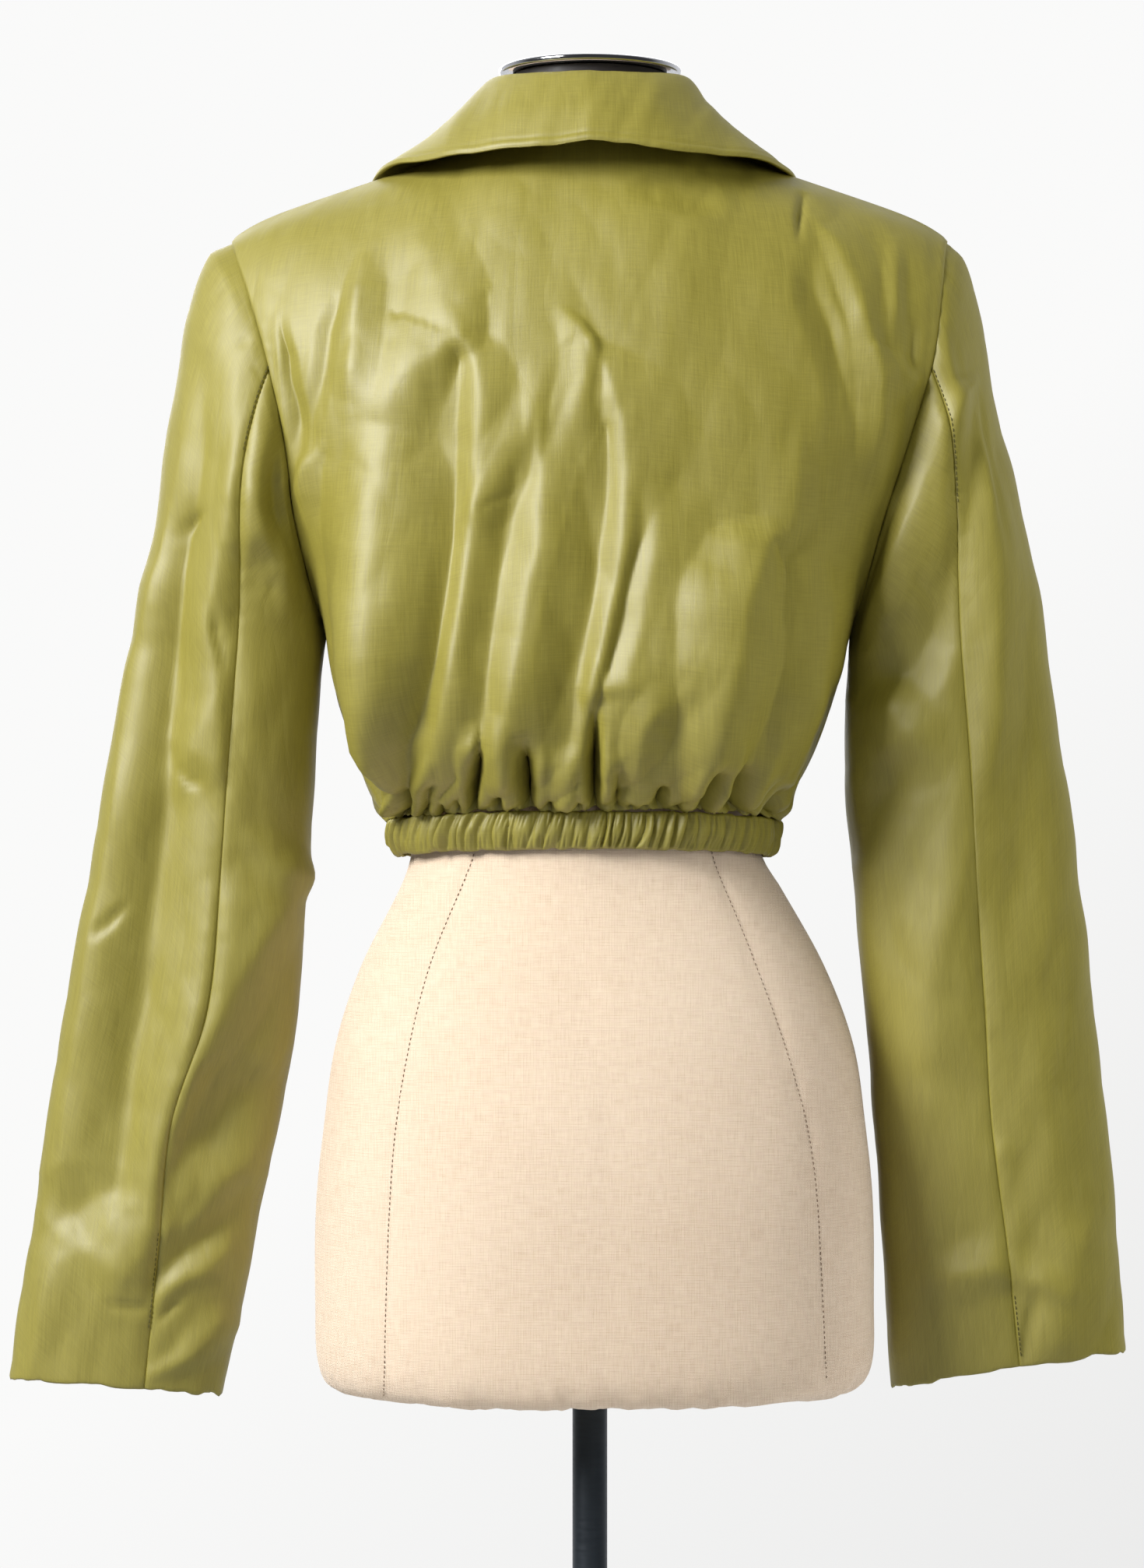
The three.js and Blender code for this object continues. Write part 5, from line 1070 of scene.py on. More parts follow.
RIGHT_SLEEVE_FOLDS = folds_from("""
crest at the top: 2 6 7 4 | 9.3 18.6 20.5 14 | 6.5 20.5 25.1 23.2 | -235 1327 -224 1317 -216 1305 -211
  1294;
trough under it: -1 -4 -5 -3 -1 | 9.3 18.6 20.5 15.8 9.3 | 4.7 9.3 12.1 14 14 | -234 1317 -232 1295 -229
  1267 -225 1239 -221 1211;
bright ridge below: 0 4 5 6 5 3 0 | 9.3 14 16.7 16.7 16.7 15.8 14 | 9.3 14 20.5 20.5 20.5 16.7 14 | -237
  1295 -240 1258 -241 1220 -242 1183 -243 1137 -240 1095 -238 1062;
fine line down the outside: 0 -1.6 -1.6 -1 0 | 2.8 3.7 3.7 3.7 2.8 | 2.8 3.7 3.7 3.7 2.8 | -241 1327 -242
  1300 -243 1272 -245 1244 -249 1216;
crest of the inner plane: 2 5 6 5 2 | 9.3 10.2 10.2 8.4 4.7 | 14 26 32.6 29.8 23.2 | -202 1276 -193 1253
  -185 1227 -175 1202 -165 1169;
trough to the elbow: -1 -5 -8 -8 -5 | 14 23.2 29.8 25.1 15.8 | 9.3 14 20.5 20.5 14 | -217 1230 -212 1197
  -204 1174 -189 1152 -166 1142;
crest under the elbow patch: 3 7 8 4 | 18.6 29.8 29.8 18.6 | 14 23.2 25.1 18.6 | -169 1140 -182 1130 -192
  1118 -200 1103;
trough under it: -2 -5 -6 -4 | 18.6 23.2 23.2 18.6 | 18.6 26 27.9 23.2 | -199 1096 -182 1089 -171 1076
  -165 1055;
soft ridge down the seam: 0 3 6 7 6 4 1 | 27.9 27.9 29.8 32.6 32.6 27.9 23.2 | 4.7 9.3 15.8 20.5 22.3 21.4
  18.6 | -226 1100 -225 1062 -220 1030 -212 1002 -209 969 -208 937 -206 904;
outer trough: 0 -4 -5 -5 -4 0 | 18.6 23.2 25.1 25.1 23.2 18.6 | 23.2 26 27.9 27.9 27.9 23.2 | -257 1192
  -260 1155 -262 1114 -259 1067 -255 1020 -252 974;
tuck by the seam: 0 -1.2 0 | 2.8 2.8 2.8 | 2.3 2.3 2.3 | -210 1281 -215 1278 -221 1277;
second tuck by the seam: 0 -1.2 0 | 2.8 2.8 2.8 | 2.3 2.3 2.3 | -213 1268 -218 1264 -224 1262;
soft plane below the elbow: 0 3 4 3 0 | 23.2 27.9 27.9 27.9 23.2 | 27.9 27.9 27.9 27.9 23.2 | -266 951
  -268 914 -273 876 -275 839 -275 802;
soft tuck at the seam: 0 2 0 | 9.3 11.2 9.3 | 6.5 7.4 6.5 | -247 881 -245 867 -250 848;
crest over the cuff: 2 6 6 2 | 14 23.2 23.2 14 | 18.6 23.2 25.1 18.6 | -206 792 -224 793 -240 801 -249 816;
short crest past the seam: 2 4 2 | 11.2 14 9.3 | 18.6 18.6 14 | -252 793 -266 787 -277 782;
ridge to the outer cuff: 1 6 7 7 5 | 23.2 27.9 27.9 23.2 18.6 | 9.3 23.2 27.9 27.9 27.9 | -300 834 -292
  811 -283 788 -278 765 -275 745;
short trough at the seam: -1 -4 -3 | 4.7 5.6 3.7 | 6.5 5.6 3.7 | -264 784 -262 765 -260 744
""")
# How far the outline under the shoulder lies outside the tube's.
OUT = {LEFT: (-0.5, -4, -4, -2.3, -1.5, 4, 8, 7), RIGHT: (-0.5, -3, -6, -9, -8.5, -3, 2, 1)}
UPWARD = (1202, 1234, 1267, 1299, 1332, 1364, 1397, 1420)
SHOULDER_SET = {sign: table("z out", *zip(UPWARD, out)) for sign, out in OUT.items()}
# On the hidden side of each sleeve, as seen from before, for the left one.
HIDDEN_SLEEVE_FOLDS = folds_from("""
long trough from the armhole: 0 -4 -6 -5 -3 0 | 14.7 19.6 | 14.7 19.6 | 205 1330 200 1260 206 1190 214
  1110 222 1040;
crest outside it: 0 3 5 4 2 | 13 19.6 | 19.6 26.1 | 228 1300 232 1210 240 1120 250 1030;
break across the elbow: 0 -4 -5 -3 0 | 8.1 11.4 | 11.4 14.7 | 176 1050 205 1025 235 1010 262 1003;
crest under it: 0 4 4 2 0 | 9.8 13 | 13 14.7 | 178 1025 206 998 236 980 262 972;
break below the elbow: 0 -4 -4 -2 | 8.1 11.4 | 11.4 13 | 186 985 214 965 240 935 256 905;
soft crest of the lower sleeve: 0 3 4 3 1 | 19.6 19.6 | 14.7 19.6 | 262 940 266 890 270 840 280 780;
trough to the cuff: 0 -4 -5 -4 -3 | 14.7 16.3 | 14.7 16.3 | 228 900 240 850 252 800 262 745
""")
print(len(LEFT_SLEEVE_FOLDS), "folds on the left sleeve and", len(RIGHT_SLEEVE_FOLDS), "on the right one")


# %% Sleeve pieces
def sleeve_ring(sign, z, at):
    rows = SLEEVE[sign]
    column = lambda name: between(rows, "down", -z, name)
    turn = 2 * math.pi * at + np.radians(column("turn"))
    # A pressed tube has flatter faces than an oval one.
    flat = np.sign(np.sin(turn)) * np.abs(np.sin(turn)) ** 0.82
    x, y = -column("width") * np.cos(turn), column("depth") * flat
    return points(column("x") + x, column("y") + y, z + column("slope") * x + column("tip") * y)


def sleeve_point(sign, at, down):
    top, cuff = -SLEEVE[sign]["down"][0], -SLEEVE[sign]["down"][-1]
    start = armhole(sign, at % 1)
    end = sleeve_ring(sign, np.full(len(at), top), at)
    length = np.linalg.norm(end - start, axis=1)[:, None]
    topness = (((1 - np.cos(2 * math.pi * at)) / 2) ** 0.6)[:, None]
    leave = mix(np.array([0.16, 0, -1]), np.array([0.54, 0, -0.86]), topness)
    leave = leave + points(0, 0.3 * np.sin(2 * math.pi * at), 0)
    arrive = (sleeve_ring(sign, np.full(len(at), top - 20), at) - end) / 20
    cap = hermite(start, leave * length, end, arrive * length, np.clip(down / CAP_SHARE, 0, 1)[:, None])
    z = mix(top, cuff, np.clip((down - CAP_SHARE) / (1 - CAP_SHARE), 0, 1))
    return np.where((down < CAP_SHARE)[:, None], cap, sleeve_ring(sign, z, at))


def sleeve_piece(sign, name, stands_for, first, last, count):
    ats = np.concatenate([[first], mix(first, last, np.linspace(0.012, 0.988, count)), [last]])
    ats = np.sort(np.concatenate([ats, mix(first, last, np.array([0.005, 0.995]))]))
    downs = np.concatenate([[0, 0.0015, 0.004], np.linspace(0.009, 0.996, 196), [0.9985, 1.0]])
    at, down = np.meshgrid(ats, downs, indexing="ij")
    p = sleeve_point(sign, at.ravel(), down.ravel()).reshape(*at.shape, 3) * (sign, 1, 1)
    n, m = at.shape
    normal = turned_toward((-sign if first < 0 else sign, 0, 0), grid_normals(p))
    side_a, side_b = runs(p, 0)
    cap, cuff = runs(p, 1)
    side = np.minimum(side_a, side_b)
    behind = facing_behind(normal)
    own = LEFT_SLEEVE_FOLDS if sign == LEFT else RIGHT_SLEEVE_FOLDS
    seen_there = wandering(as_seen(p.reshape(-1, 3)), 85 + sign)
    hidden = p[..., [0, 2]].reshape(-1, 2) * (sign, 1)
    out = lift_of(seen_there, own).reshape(n, m) * behind
    out += lift_of(hidden, HIDDEN_SLEEVE_FOLDS).reshape(n, m) * (1 - behind)
    z, outer = p[..., 2], smooth((normal[..., 0] * sign - 0.2) / 0.7)
    out += between(SHOULDER_SET[sign], "z", z, "out") * smooth((z - 1190) / 30) * outer
    out *= smooth(cap / 14) * (0.75 + 0.25 * smooth(side / 7)) * (0.6 + 0.4 * smooth(cuff / 12))
    out += crumple(p, 50 + sign, 0.8) * smooth(cap / 12) * smooth(side / 10)
    out += seam_dip(side) + seam_dip(cap, 1.0, 1.5) + seam_dip(cuff, 0.7, 0.8)
    out += puckers(p[..., 2], side, 60 + sign) * smooth(side / 3) + puckers(at * 500, cap, 62 + sign, 0.4)
    shaped = p + normal * out[..., None]
    wave = lumps(at * 400, at * 0, 17.0, 9.0, 70 + sign) + 0.6 * lumps(at * 400, at * 0, 6.0, 9.0, 72 + sign)
    shaped[..., 2] += 1.3 * wave * np.exp(-cuff / 14)
    if first > 0:
        for start, end in SEAM_PULLED_OPEN[sign]:
            part = slice(int(start * m), int(end * m))
            SEAM_LINES[sign].append((shaped[1, part], normal[1, part]))
    return wear(cloth_piece(name, p, shaped, CLOTH, not faces_look_along(p, normal), stands_for), olive)


# Where a sleeve's back seam shows its thread, as shares of its length.
SEAM_PULLED_OPEN = {LEFT: ((0.004, 0.13), (0.86, 0.95)), RIGHT: ((0.004, 0.2), (0.93, 0.99))}
SEAM_LINES = {LEFT: [], RIGHT: []}
for sign, side in ((LEFT, "left"), (RIGHT, "right")):
    sleeve_piece(sign, f"sleeve_top_{side}", f"top_sleeve_{side}", BACK_SEAM, FRONT_SEAM, 84)
    sleeve_piece(sign, f"sleeve_under_{side}", f"under_sleeve_{side}", FRONT_SEAM - 1, BACK_SEAM, 52)


# %% [markdown]
# ## The collar and the lapels
# The collar stands up round the neck, rolls over and falls onto the shoulders; before, its ends
# lie on the fronts above the lapels, with a notch between. Both are two layers of cloth, so they
# are thicker than the rest and their edges are rounded.

# %% Lines of the collar
COLLAR = [
    # neck seam (a turn in degrees behind the neck point, or a point), roll, middle of the fall, edge
    (0, (0, 56.5, 1500.5), (0, 78, 1481), (0, 93, 1457.3)),
    (25, (27, 50, 1501), (34, 72, 1480.5), (40, 88, 1454.5)),
    (48, (47, 33, 1503), (58, 53, 1481.5), (75, 70, 1452.5)),
    (68, (56.5, 13, 1504), (73, 30, 1484), (103, 43, 1452.8)),
    (90, (59.5, -7, 1502), (79.5, 2, 1484), (122, 8, 1452)),
    ((66, -22, 1465), (61, -27, 1493), (83, -27, 1477), (131, -28, 1445.5)),
    ((63.5, -42, 1454), (61.5, -48, 1471), (86, -52, 1456), (129, -50, 1434)),
]
COLLAR_END = ((61, 1434), (80, 1423), (99, 1411.5), (119, 1423))
COLLAR_STANDS = 4.9  # how far its ends stand off the fronts
COLLAR_END_SHARE = 0.14  # its last stretch lies flat, between straight edges
SPREAD = {LEFT: 1.0, RIGHT: 0.955}  # the right half sits a little narrower
print("behind, the collar falls by", round(math.dist(COLLAR[0][1], COLLAR[0][3])), "mm")


# %% Collar
def on_front(sign, x, z, stand):
    """The point of a front at (x, z) as seen from before, standing off by so much."""
    across, up = x / 160, np.clip((z - 1066) / 400, 0.02, 0.98)  # a first guess, bettered step by step
    step = 1e-4
    for _ in range(14):
        here = panel_point(sign, False, across, up)
        along = (panel_point(sign, False, across + step, up) - here) / step
        rise = (panel_point(sign, False, across, up + step) - here) / step
        miss_x, miss_z = x - here[:, 0], z - here[:, 2]
        size = along[:, 0] * rise[:, 2] - along[:, 2] * rise[:, 0]
        across = across + np.clip((miss_x * rise[:, 2] - miss_z * rise[:, 0]) / size, -0.1, 0.1)
        up = np.clip(up + np.clip((along[:, 0] * miss_z - along[:, 2] * miss_x) / size, -0.1, 0.1), 0, 0.9995)
    normal = np.cross(rise, along)
    normal *= -np.sign(normal[:, 1:2]) / np.linalg.norm(normal, axis=1, keepdims=True)
    over = level(normal) * overlap_at(sign, here[:, 0], up)[:, None]
    return here + normal * np.reshape(stand, (-1, 1)) + over


def collar_lines(sign):
    rows = []
    for seam, *fall in COLLAR:
        if np.isscalar(seam):
            seam = neckline(np.array(math.radians(seam)), NECK_DEPTH, NECK_DROP_BEHIND)
        roll, middle, edge = (np.array(q, float) for q in fall)
        rows.append([np.array(seam, float), roll, middle * (SPREAD[sign], 1, 1), edge * (SPREAD[sign], 1, 1)])
    end = np.array(COLLAR_END, float)
    rows.append(list(on_front(sign, end[:, 0], end[:, 1], np.full(4, COLLAR_STANDS))))
    return np.array(rows).transpose(1, 0, 2)  # (line, row, xyz)


def collar_grid(count, rows):
    sides = []
    along = np.concatenate([np.linspace(0, 0.99, count), [0.994, 0.998, 1.0]])
    v = np.concatenate([np.linspace(0, 0.985, rows), [0.991, 0.996, 1.0]])
    for sign in (RIGHT, LEFT):
        lines = np.array([through(line[:, None, :], along) for line in collar_lines(sign)])
        a, t = crossed(np.arange(len(along)), v)
        curved = through(lines[:, a], t)
        k = np.minimum((t * 3).astype(int), 2)
        straight = mix(lines[k, a], lines[k + 1, a], (t * 3 - k)[:, None])
        corner = smooth((along[a] - 1 + COLLAR_END_SHARE) / COLLAR_END_SHARE)[:, None]
        p = (mix(curved, straight, corner) * (sign, 1, 1)).reshape(len(along), len(v), 3)
        sides.append(p[::-1] if sign == RIGHT else p[1:])
    return np.concatenate(sides)


def collar():
    p = collar_grid(118, 62)
    normal = grid_normals(p)
    normal *= np.sign(normal[len(normal) // 2, -10:, 1].mean())
    ends = np.minimum(*runs(p, 0))
    seam, edge = runs(p, 1)
    fall = smooth((seam - 30) / 25)
    out = 1.1 * fall * lumps(p[..., 0], p[..., 2], 19.0, 34.0, 81)
    out += 0.8 * fall * lumps(p[..., 0] + 0.4 * p[..., 2], p[..., 2], 9.0, 40.0, 82)
    out += seam_dip(edge, 1.0, 0.9) + seam_dip(ends, 1.0, 0.9)
    out += 0.45 * np.exp(-(((edge - 1.6) / 1.1) ** 2)) - 0.6 * np.exp(-(((edge - 4.2) / 1.3) ** 2))
    out *= smooth(ends / 3 + 0.4)
    shaped = p + normal * out[..., None]
    wave = lumps(p[..., 0], p[..., 0] * 0, 24.0, 9.0, 83)
    shaped[..., 2] += 1.0 * wave * np.exp(-edge / 9) * smooth(ends / 25)
    return wear(cloth_piece("collar_fall", p, shaped, COLLAR_CLOTH, True, "collar"), olive)


collar()


# %% Lapels
LAPEL = table(
    "z out high",
    (1154, -9, 1155),
    (1180, 14, 1176),
    (1225, 44, 1214),
    (1272, 74, 1257),
    (1320, 100, 1303),
    (1366, 117, 1345),
    (1430, 127, 1393),
)
LAPEL_START = {LEFT: 0.14, RIGHT: 0.0}
LAPEL_LIFT = 4.5  # how far a lapel stands off its front


def lapel(sign, name, stands_for):
    edge_x = between(FRONT_EDGE, "z", LAPEL["z"], "x")
    roll = edge_x - 1.5
    if sign == LEFT:
        roll = np.maximum(roll, 2.6 - edge_x)
    zero = np.zeros(len(roll))
    v = np.linspace(LAPEL_START[sign], 1, 96)
    inner = through(points(roll, zero, LAPEL["z"])[:, None, :], v)
    outer = through(points(LAPEL["out"], zero, LAPEL["high"])[:, None, :], v)
    u = np.concatenate([np.linspace(0, 0.98, 40), [0.988, 0.995, 1.0]])
    a, b = crossed(u, np.arange(len(v)))
    flat = mix(inner[b], outer[b], a[:, None])
    width = np.linalg.norm(outer - inner, axis=1)[b]
    roll_in = 3.4 * np.exp(-((a * width / 3.2) ** 2)) if sign == RIGHT else 0.0
    p = on_front(sign, flat[:, 0], flat[:, 2], LAPEL_LIFT - roll_in).reshape(len(u), len(v), 3)
    normal = turned_toward((0, -1, 0), grid_normals(p))
    edge, notch = runs(p, 0)[1], runs(p, 1)[1]
    out = 0.8 * lumps(p[..., 0] - 0.6 * p[..., 2], p[..., 2], 17.0, 60.0, 91) * smooth(edge / 12)
    out += seam_dip(edge, 1.0, 0.9) + seam_dip(notch, 1.0, 0.9)
    turn = np.array([sign, 1, 1])
    shaped = (p + normal * out[..., None]) * turn
    return wear(cloth_piece(name, p * turn, shaped, COLLAR_CLOTH, sign == LEFT, stands_for), olive)


lapel(LEFT, "lapel_of_the_left", "lapel_left")
lapel(RIGHT, "lapel_of_the_right", "lapel_right")

# %% [markdown]
# ## The gathered band
# The band is a folded strip with elastic inside. Drawn in, it makes dozens of narrow pleats, and
# no two are alike: each has its own width, height and slant, and between the long ones run short
# ones that start at one edge only. The pleats are laid out one after another round the waist.

# %% Band
BAND_HEIGHT = 22.0
BAND_JOIN = 0.45  # the gap between the band and the body over it
BAND_END = 0.522  # the band passes the centre front, which is at 0.5


def band_base(turn, v):
    """The band's base line: turn 0 at the centre back, a quarter at the wearer's left."""
    base = np.empty((len(turn), 3))
    for sign in (LEFT, RIGHT):
        for behind in (True, False):
            quarters = np.abs(turn) * 4
            mine = (np.where(turn < 0, RIGHT, LEFT) == sign) & ((quarters < 1) == behind)
            across = quarters[mine] if behind else 2 - quarters[mine]
            if mine.any():
                q = panel_point(sign, behind, across, np.zeros(mine.sum()))
                over = overlap_at(sign, q[:, 0], np.zeros(len(q))) if not behind else 0
                q[:, 2] -= BAND_JOIN + BAND_HEIGHT * (1 - v[mine])
                q += level(q) * np.reshape(over - 3.5 * (1 - v[mine]), (-1, 1))
                base[mine] = q * (sign, 1, 1)
    return base


def band(name, start, end, count, flat_end, stands_for, seed):
    # The columns are spaced evenly along the cloth, so that no pleat falls between two of them.
    turns = np.linspace(start, end, 2400)
    along = length_along(band_base(turns, turns * 0 + 1))
    turns = np.interp(np.linspace(0, along[-1], count), along, turns)
    v = np.concatenate([[0, 0.012, 0.035], np.linspace(0.07, 0.93, 19), [0.965, 0.988, 1.0]])
    turn, up = np.meshgrid(turns, v, indexing="ij")
    p = band_base(turn.ravel(), up.ravel()).reshape(*turn.shape, 3)
    s = runs(p, 0)[0]
    flat = smooth(((turns - start) / (end - start) - 0.74) / 0.12)[:, None] if flat_end else 0.0
    ends = 0.5 + 0.5 * np.minimum(smooth(up / 0.12), smooth((1 - up) / 0.12))
    depth = 5.4 + 2.4 * lumps(s, up * 0, 19.0, 9.0, seed + 4)
    main = pleats(s, up, (3.6, 10.0), seed, 3.4, 0.55) * depth - 0.55 * depth
    at_top = (pleats(s, up, (2.2, 4.4), seed + 1, 1.6) - 0.6) * 1.9 * smooth((up - 0.45) / 0.4)
    at_foot = (pleats(s, up, (2.2, 4.6), seed + 2, 1.6) - 0.6) * 1.9 * smooth((0.55 - up) / 0.4)
    swell = 2.6 * np.sin(math.pi * up) + 0.6
    out = swell + (main + at_top + at_foot) * ends + 0.5 * lumps(s, up * 22, 14.0, 12.0, seed)
    out = out * (1 - flat) + 0.7 * flat * np.sin(math.pi * up) ** 0.5
    out = out - 1.4 * (np.exp(-((up / 0.03) ** 2)) + np.exp(-(((1 - up) / 0.03) ** 2)))
    shaped = p + level(p) * out[..., None]
    edge_wave = lumps(s, up * 0, 5.5, 9.0, seed + 3) * (1 - flat)
    shaped[..., 2] += 0.7 * edge_wave * (2 * up - 1) * np.abs(2 * up - 1)
    return wear(cloth_piece(name, p, shaped, CLOTH, not faces_look_along(p, level(p)), stands_for), olive)


band("band_of_the_back", -0.25, 0.25, 620, False, "waistband_back", 101)
band("band_of_the_left", 0.25, BAND_END, 300, True, "waistband_left", 111)
band("band_of_the_right", -0.25, -BAND_END, 300, True, "waistband_right", 121)

# %% [markdown]
# ## The dress form
# The form is a padded torso with no head, arms or legs, covered in linen panels. It is a stack
# of rounded sections. The panels meet in long seams that sink in a little, each with a line of
# small stitches, and at the bottom the linen is drawn under the edge in small gathers.

# %% Form sections
FORM = table(
    "z x side back front square",
    (723.5, -3, 137, 88, 80, 2.1),
    (726, -3, 152, 99, 91, 2.15),
    (733, -3, 161.5, 106.5, 98, 2.2),
    (747, -3, 166, 111, 102.5, 2.25),
    (775, -3, 166.5, 114.5, 105, 2.3),
    (838, -3, 166, 118.5, 107, 2.3),
    (885, -3, 161.5, 116, 105, 2.3),
    (932, -3, 154.5, 108, 101, 2.25),
    (978, -2, 138.5, 96, 94.5, 2.2),
    (1025, -0.5, 113.5, 83, 87, 2.1),
    (1040, 1.5, 106, 81, 86, 2.05),
    (1056, 3, 102.5, 80, 85.5, 2),
    (1090, 3, 105.5, 82, 88.5, 2.1),
    (1135, 2, 118, 85, 97, 2.15),
    (1180, 1, 128, 91, 109, 2.15),
    (1225, 0, 136, 96, 122, 2.2),
    (1262, 0, 141, 99.5, 127, 2.2),
    (1300, 0, 145, 101, 119, 2.25),
    (1340, 0, 151, 97, 99, 2.3),
    (1375, 0, 158, 84, 78, 2.25),
    (1398, 0, 161, 70, 62, 2.05),
    (1413, 0, 157, 60, 54, 1.9),
    (1425, 0, 145, 54, 50, 1.75),
    (1436, 0, 122, 50, 49, 1.7),
    (1448, 0, 92, 48, 48.5, 1.75),
    (1458, 0, 69, 47.5, 48.5, 1.9),
    (1470, 0, 55.5, 48, 49, 2),
    (1488, 0, 50.5, 48.5, 49, 2),
    (1504, 0, 49.5, 49.5, 49.5, 2),
)
# The long seams behind, as seen: across and height, from the waist down.
FORM_SEAMS = [
    [(70, 1058), (70.2, 1042), (97, 974), (113.5, 899.5), (120, 829), (123.2, 721)],
    [(-74.4, 1052), (-74.4, 1040), (-97.2, 983.7), (-120.4, 918), (-134.4, 852.6), (-141.4, 731)],
]
# The same before, at their own places.
FORM_SEAMS_BEFORE = [
    [(63, 1052), (66, 1040), (88, 978), (101, 900), (106, 829), (108, 727)],
    [(-60, 1052), (-63, 1040), (-88, 978), (-104, 900), (-111, 829), (-114, 727)],
]


def form_point(z, angle):
    column = lambda name: between(FORM, "z", z, name)
    s, c = np.sin(angle), np.cos(angle)
    power = 2 / column("square")
    x = column("x") + column("side") * np.sign(s) * np.abs(s) ** power
    depth = np.where(c > 0, column("back"), column("front"))
    return points(x, depth * np.sign(c) * np.abs(c) ** power, z)


print("the form is", round(2 * FORM["side"][:10].max()), "mm wide at the hips")


# %% Form body
def form_body():
    turn = np.linspace(0, 2 * math.pi, 240, endpoint=False)
    evened = turn - 0.11 * np.sin(4 * turn)
    low = np.array([723.5, 723.9, 724.5, 725.2, 726, 727.2, 728.6, 730.2])
    heights = np.concatenate([low, np.linspace(732, 1504, 200)])
    z, angle = np.meshgrid(heights, evened, indexing="ij")
    p = form_point(z.ravel(), angle.ravel()).reshape(*z.shape, 3)
    ring = np.concatenate([p, p[:, :1]], axis=1)
    normal = grid_normals(ring)[:, :-1]
    normal *= np.sign((normal * p * (1, 1, 0)).sum())
    where, plain = as_seen(p.reshape(-1, 3)), p[..., [0, 2]].reshape(-1, 2)
    out = np.zeros(z.shape)
    behind = facing_behind(normal)
    for seams, places, share in ((FORM_SEAMS, where, behind), (FORM_SEAMS_BEFORE, plain, 1 - behind)):
        dips = [fold((-1.1, -1.1), (2.2, 2.2), (2.2, 2.2), *seam) for seam in seams]
        dips += [fold((-0.6, -0.6), (9, 9), (9, 9), *seam, soft=0.5) for seam in seams]
        out += lift_of(places, dips).reshape(z.shape) * share
    s = angle * 130
    drawn = smooth((742 - z) / 12)
    out += drawn * (1.1 * lumps(s, z * 0, 9.0, 9.0, 131) + 0.7 * lumps(s, z * 0, 4.0, 9.0, 132))
    out += 0.5 * lumps(s, z, 60.0, 80.0, 133)
    p = p + normal * out[..., None]
    n, m = z.shape
    i, j = crossed(np.arange(n - 1), np.arange(m))
    nxt = (j + 1) % m
    faces = np.stack([i * m + j, i * m + nxt, (i + 1) * m + nxt, (i + 1) * m + j], axis=1)[:, ::-1].tolist()
    ends = [p[0].mean(axis=0), p[-1].mean(axis=0)]
    faces += [(n * m, k, (k + 1) % m) for k in range(m)]
    faces += [(n * m + 1, (n - 1) * m + (k + 1) % m, (n - 1) * m + k) for k in range(m)]
    flat = np.concatenate([p[..., [0, 2]].reshape(-1, 2), [[0, 723], [0, 1504]]])
    made = mesh_object("form_torso", np.concatenate([p.reshape(-1, 3), ends]), faces, flat)
    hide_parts("form_body")
    print("form_torso:", len(made.data.polygons), "faces")
    return wear(made, natural_linen)


form_torso = form_body()

# %% [markdown]
# ## The stand, the neck cap and the buttons
# These are hard pieces with true circles. Each is turned: a profile goes once round the axis. The
# corners are rounded a little, because a real edge always catches a thin line of light.

# %% Turned pieces
def turned_piece(name, profile, stands_for, material, sides=96, round_off=0.8):
    """A closed ring or disc from (radius, height) corners, with every corner rounded."""
    outline, count = [], len(profile)
    for k, corner in enumerate(profile):
        corner = np.array(corner, float)
        before, after = (np.array(profile[(k + d) % count], float) for d in (-1, 1))
        if corner[0] == 0:
            outline.append(corner)
            continue
        into, out = before - corner, after - corner
        cut = min(round_off, np.linalg.norm(into) * 0.45, np.linalg.norm(out) * 0.45)
        a, b = corner + into / np.linalg.norm(into) * cut, corner + out / np.linalg.norm(out) * cut
        for t in np.linspace(0, 1, 5):
            outline.append(mix(mix(a, corner, t), mix(corner, b, t), t))
    angle = np.linspace(0, 2 * math.pi, sides, endpoint=False)
    vertices, rings = [], []
    for radius, z in outline:
        if radius < 1e-6:
            rings.append([len(vertices)])
            vertices.append((0, 0, z))
        else:
            rings.append(list(range(len(vertices), len(vertices) + sides)))
            vertices += [(radius * math.cos(t), radius * math.sin(t), z) for t in angle]
    faces = []
    for a, b in zip(rings, rings[1:] + rings[:1]):
        for k in range(sides):
            corners = (a[k % len(a)], a[(k + 1) % len(a)], b[(k + 1) % len(b)], b[k % len(b)])
            corners = list(dict.fromkeys(corners))  # at the axis two of them are one
            if len(corners) > 2:
                faces.append(corners)
    made = mesh_object(name, vertices, faces)
    smooth_by_angle(made)
    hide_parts(stands_for)
    print(f"{name}: {len(faces)} faces")
    return wear(made, material)


def smooth_by_angle(made, degrees=40):
    """Hard edges stay hard and round ones round; faces are made to look outward."""
    work = bmesh.new()
    work.from_mesh(made.data)
    bmesh.ops.recalc_face_normals(work, faces=work.faces)
    for edge in work.edges:
        edge.smooth = len(edge.link_faces) != 2 or edge.calc_face_angle() < math.radians(degrees)
    work.to_mesh(made.data)
    work.free()


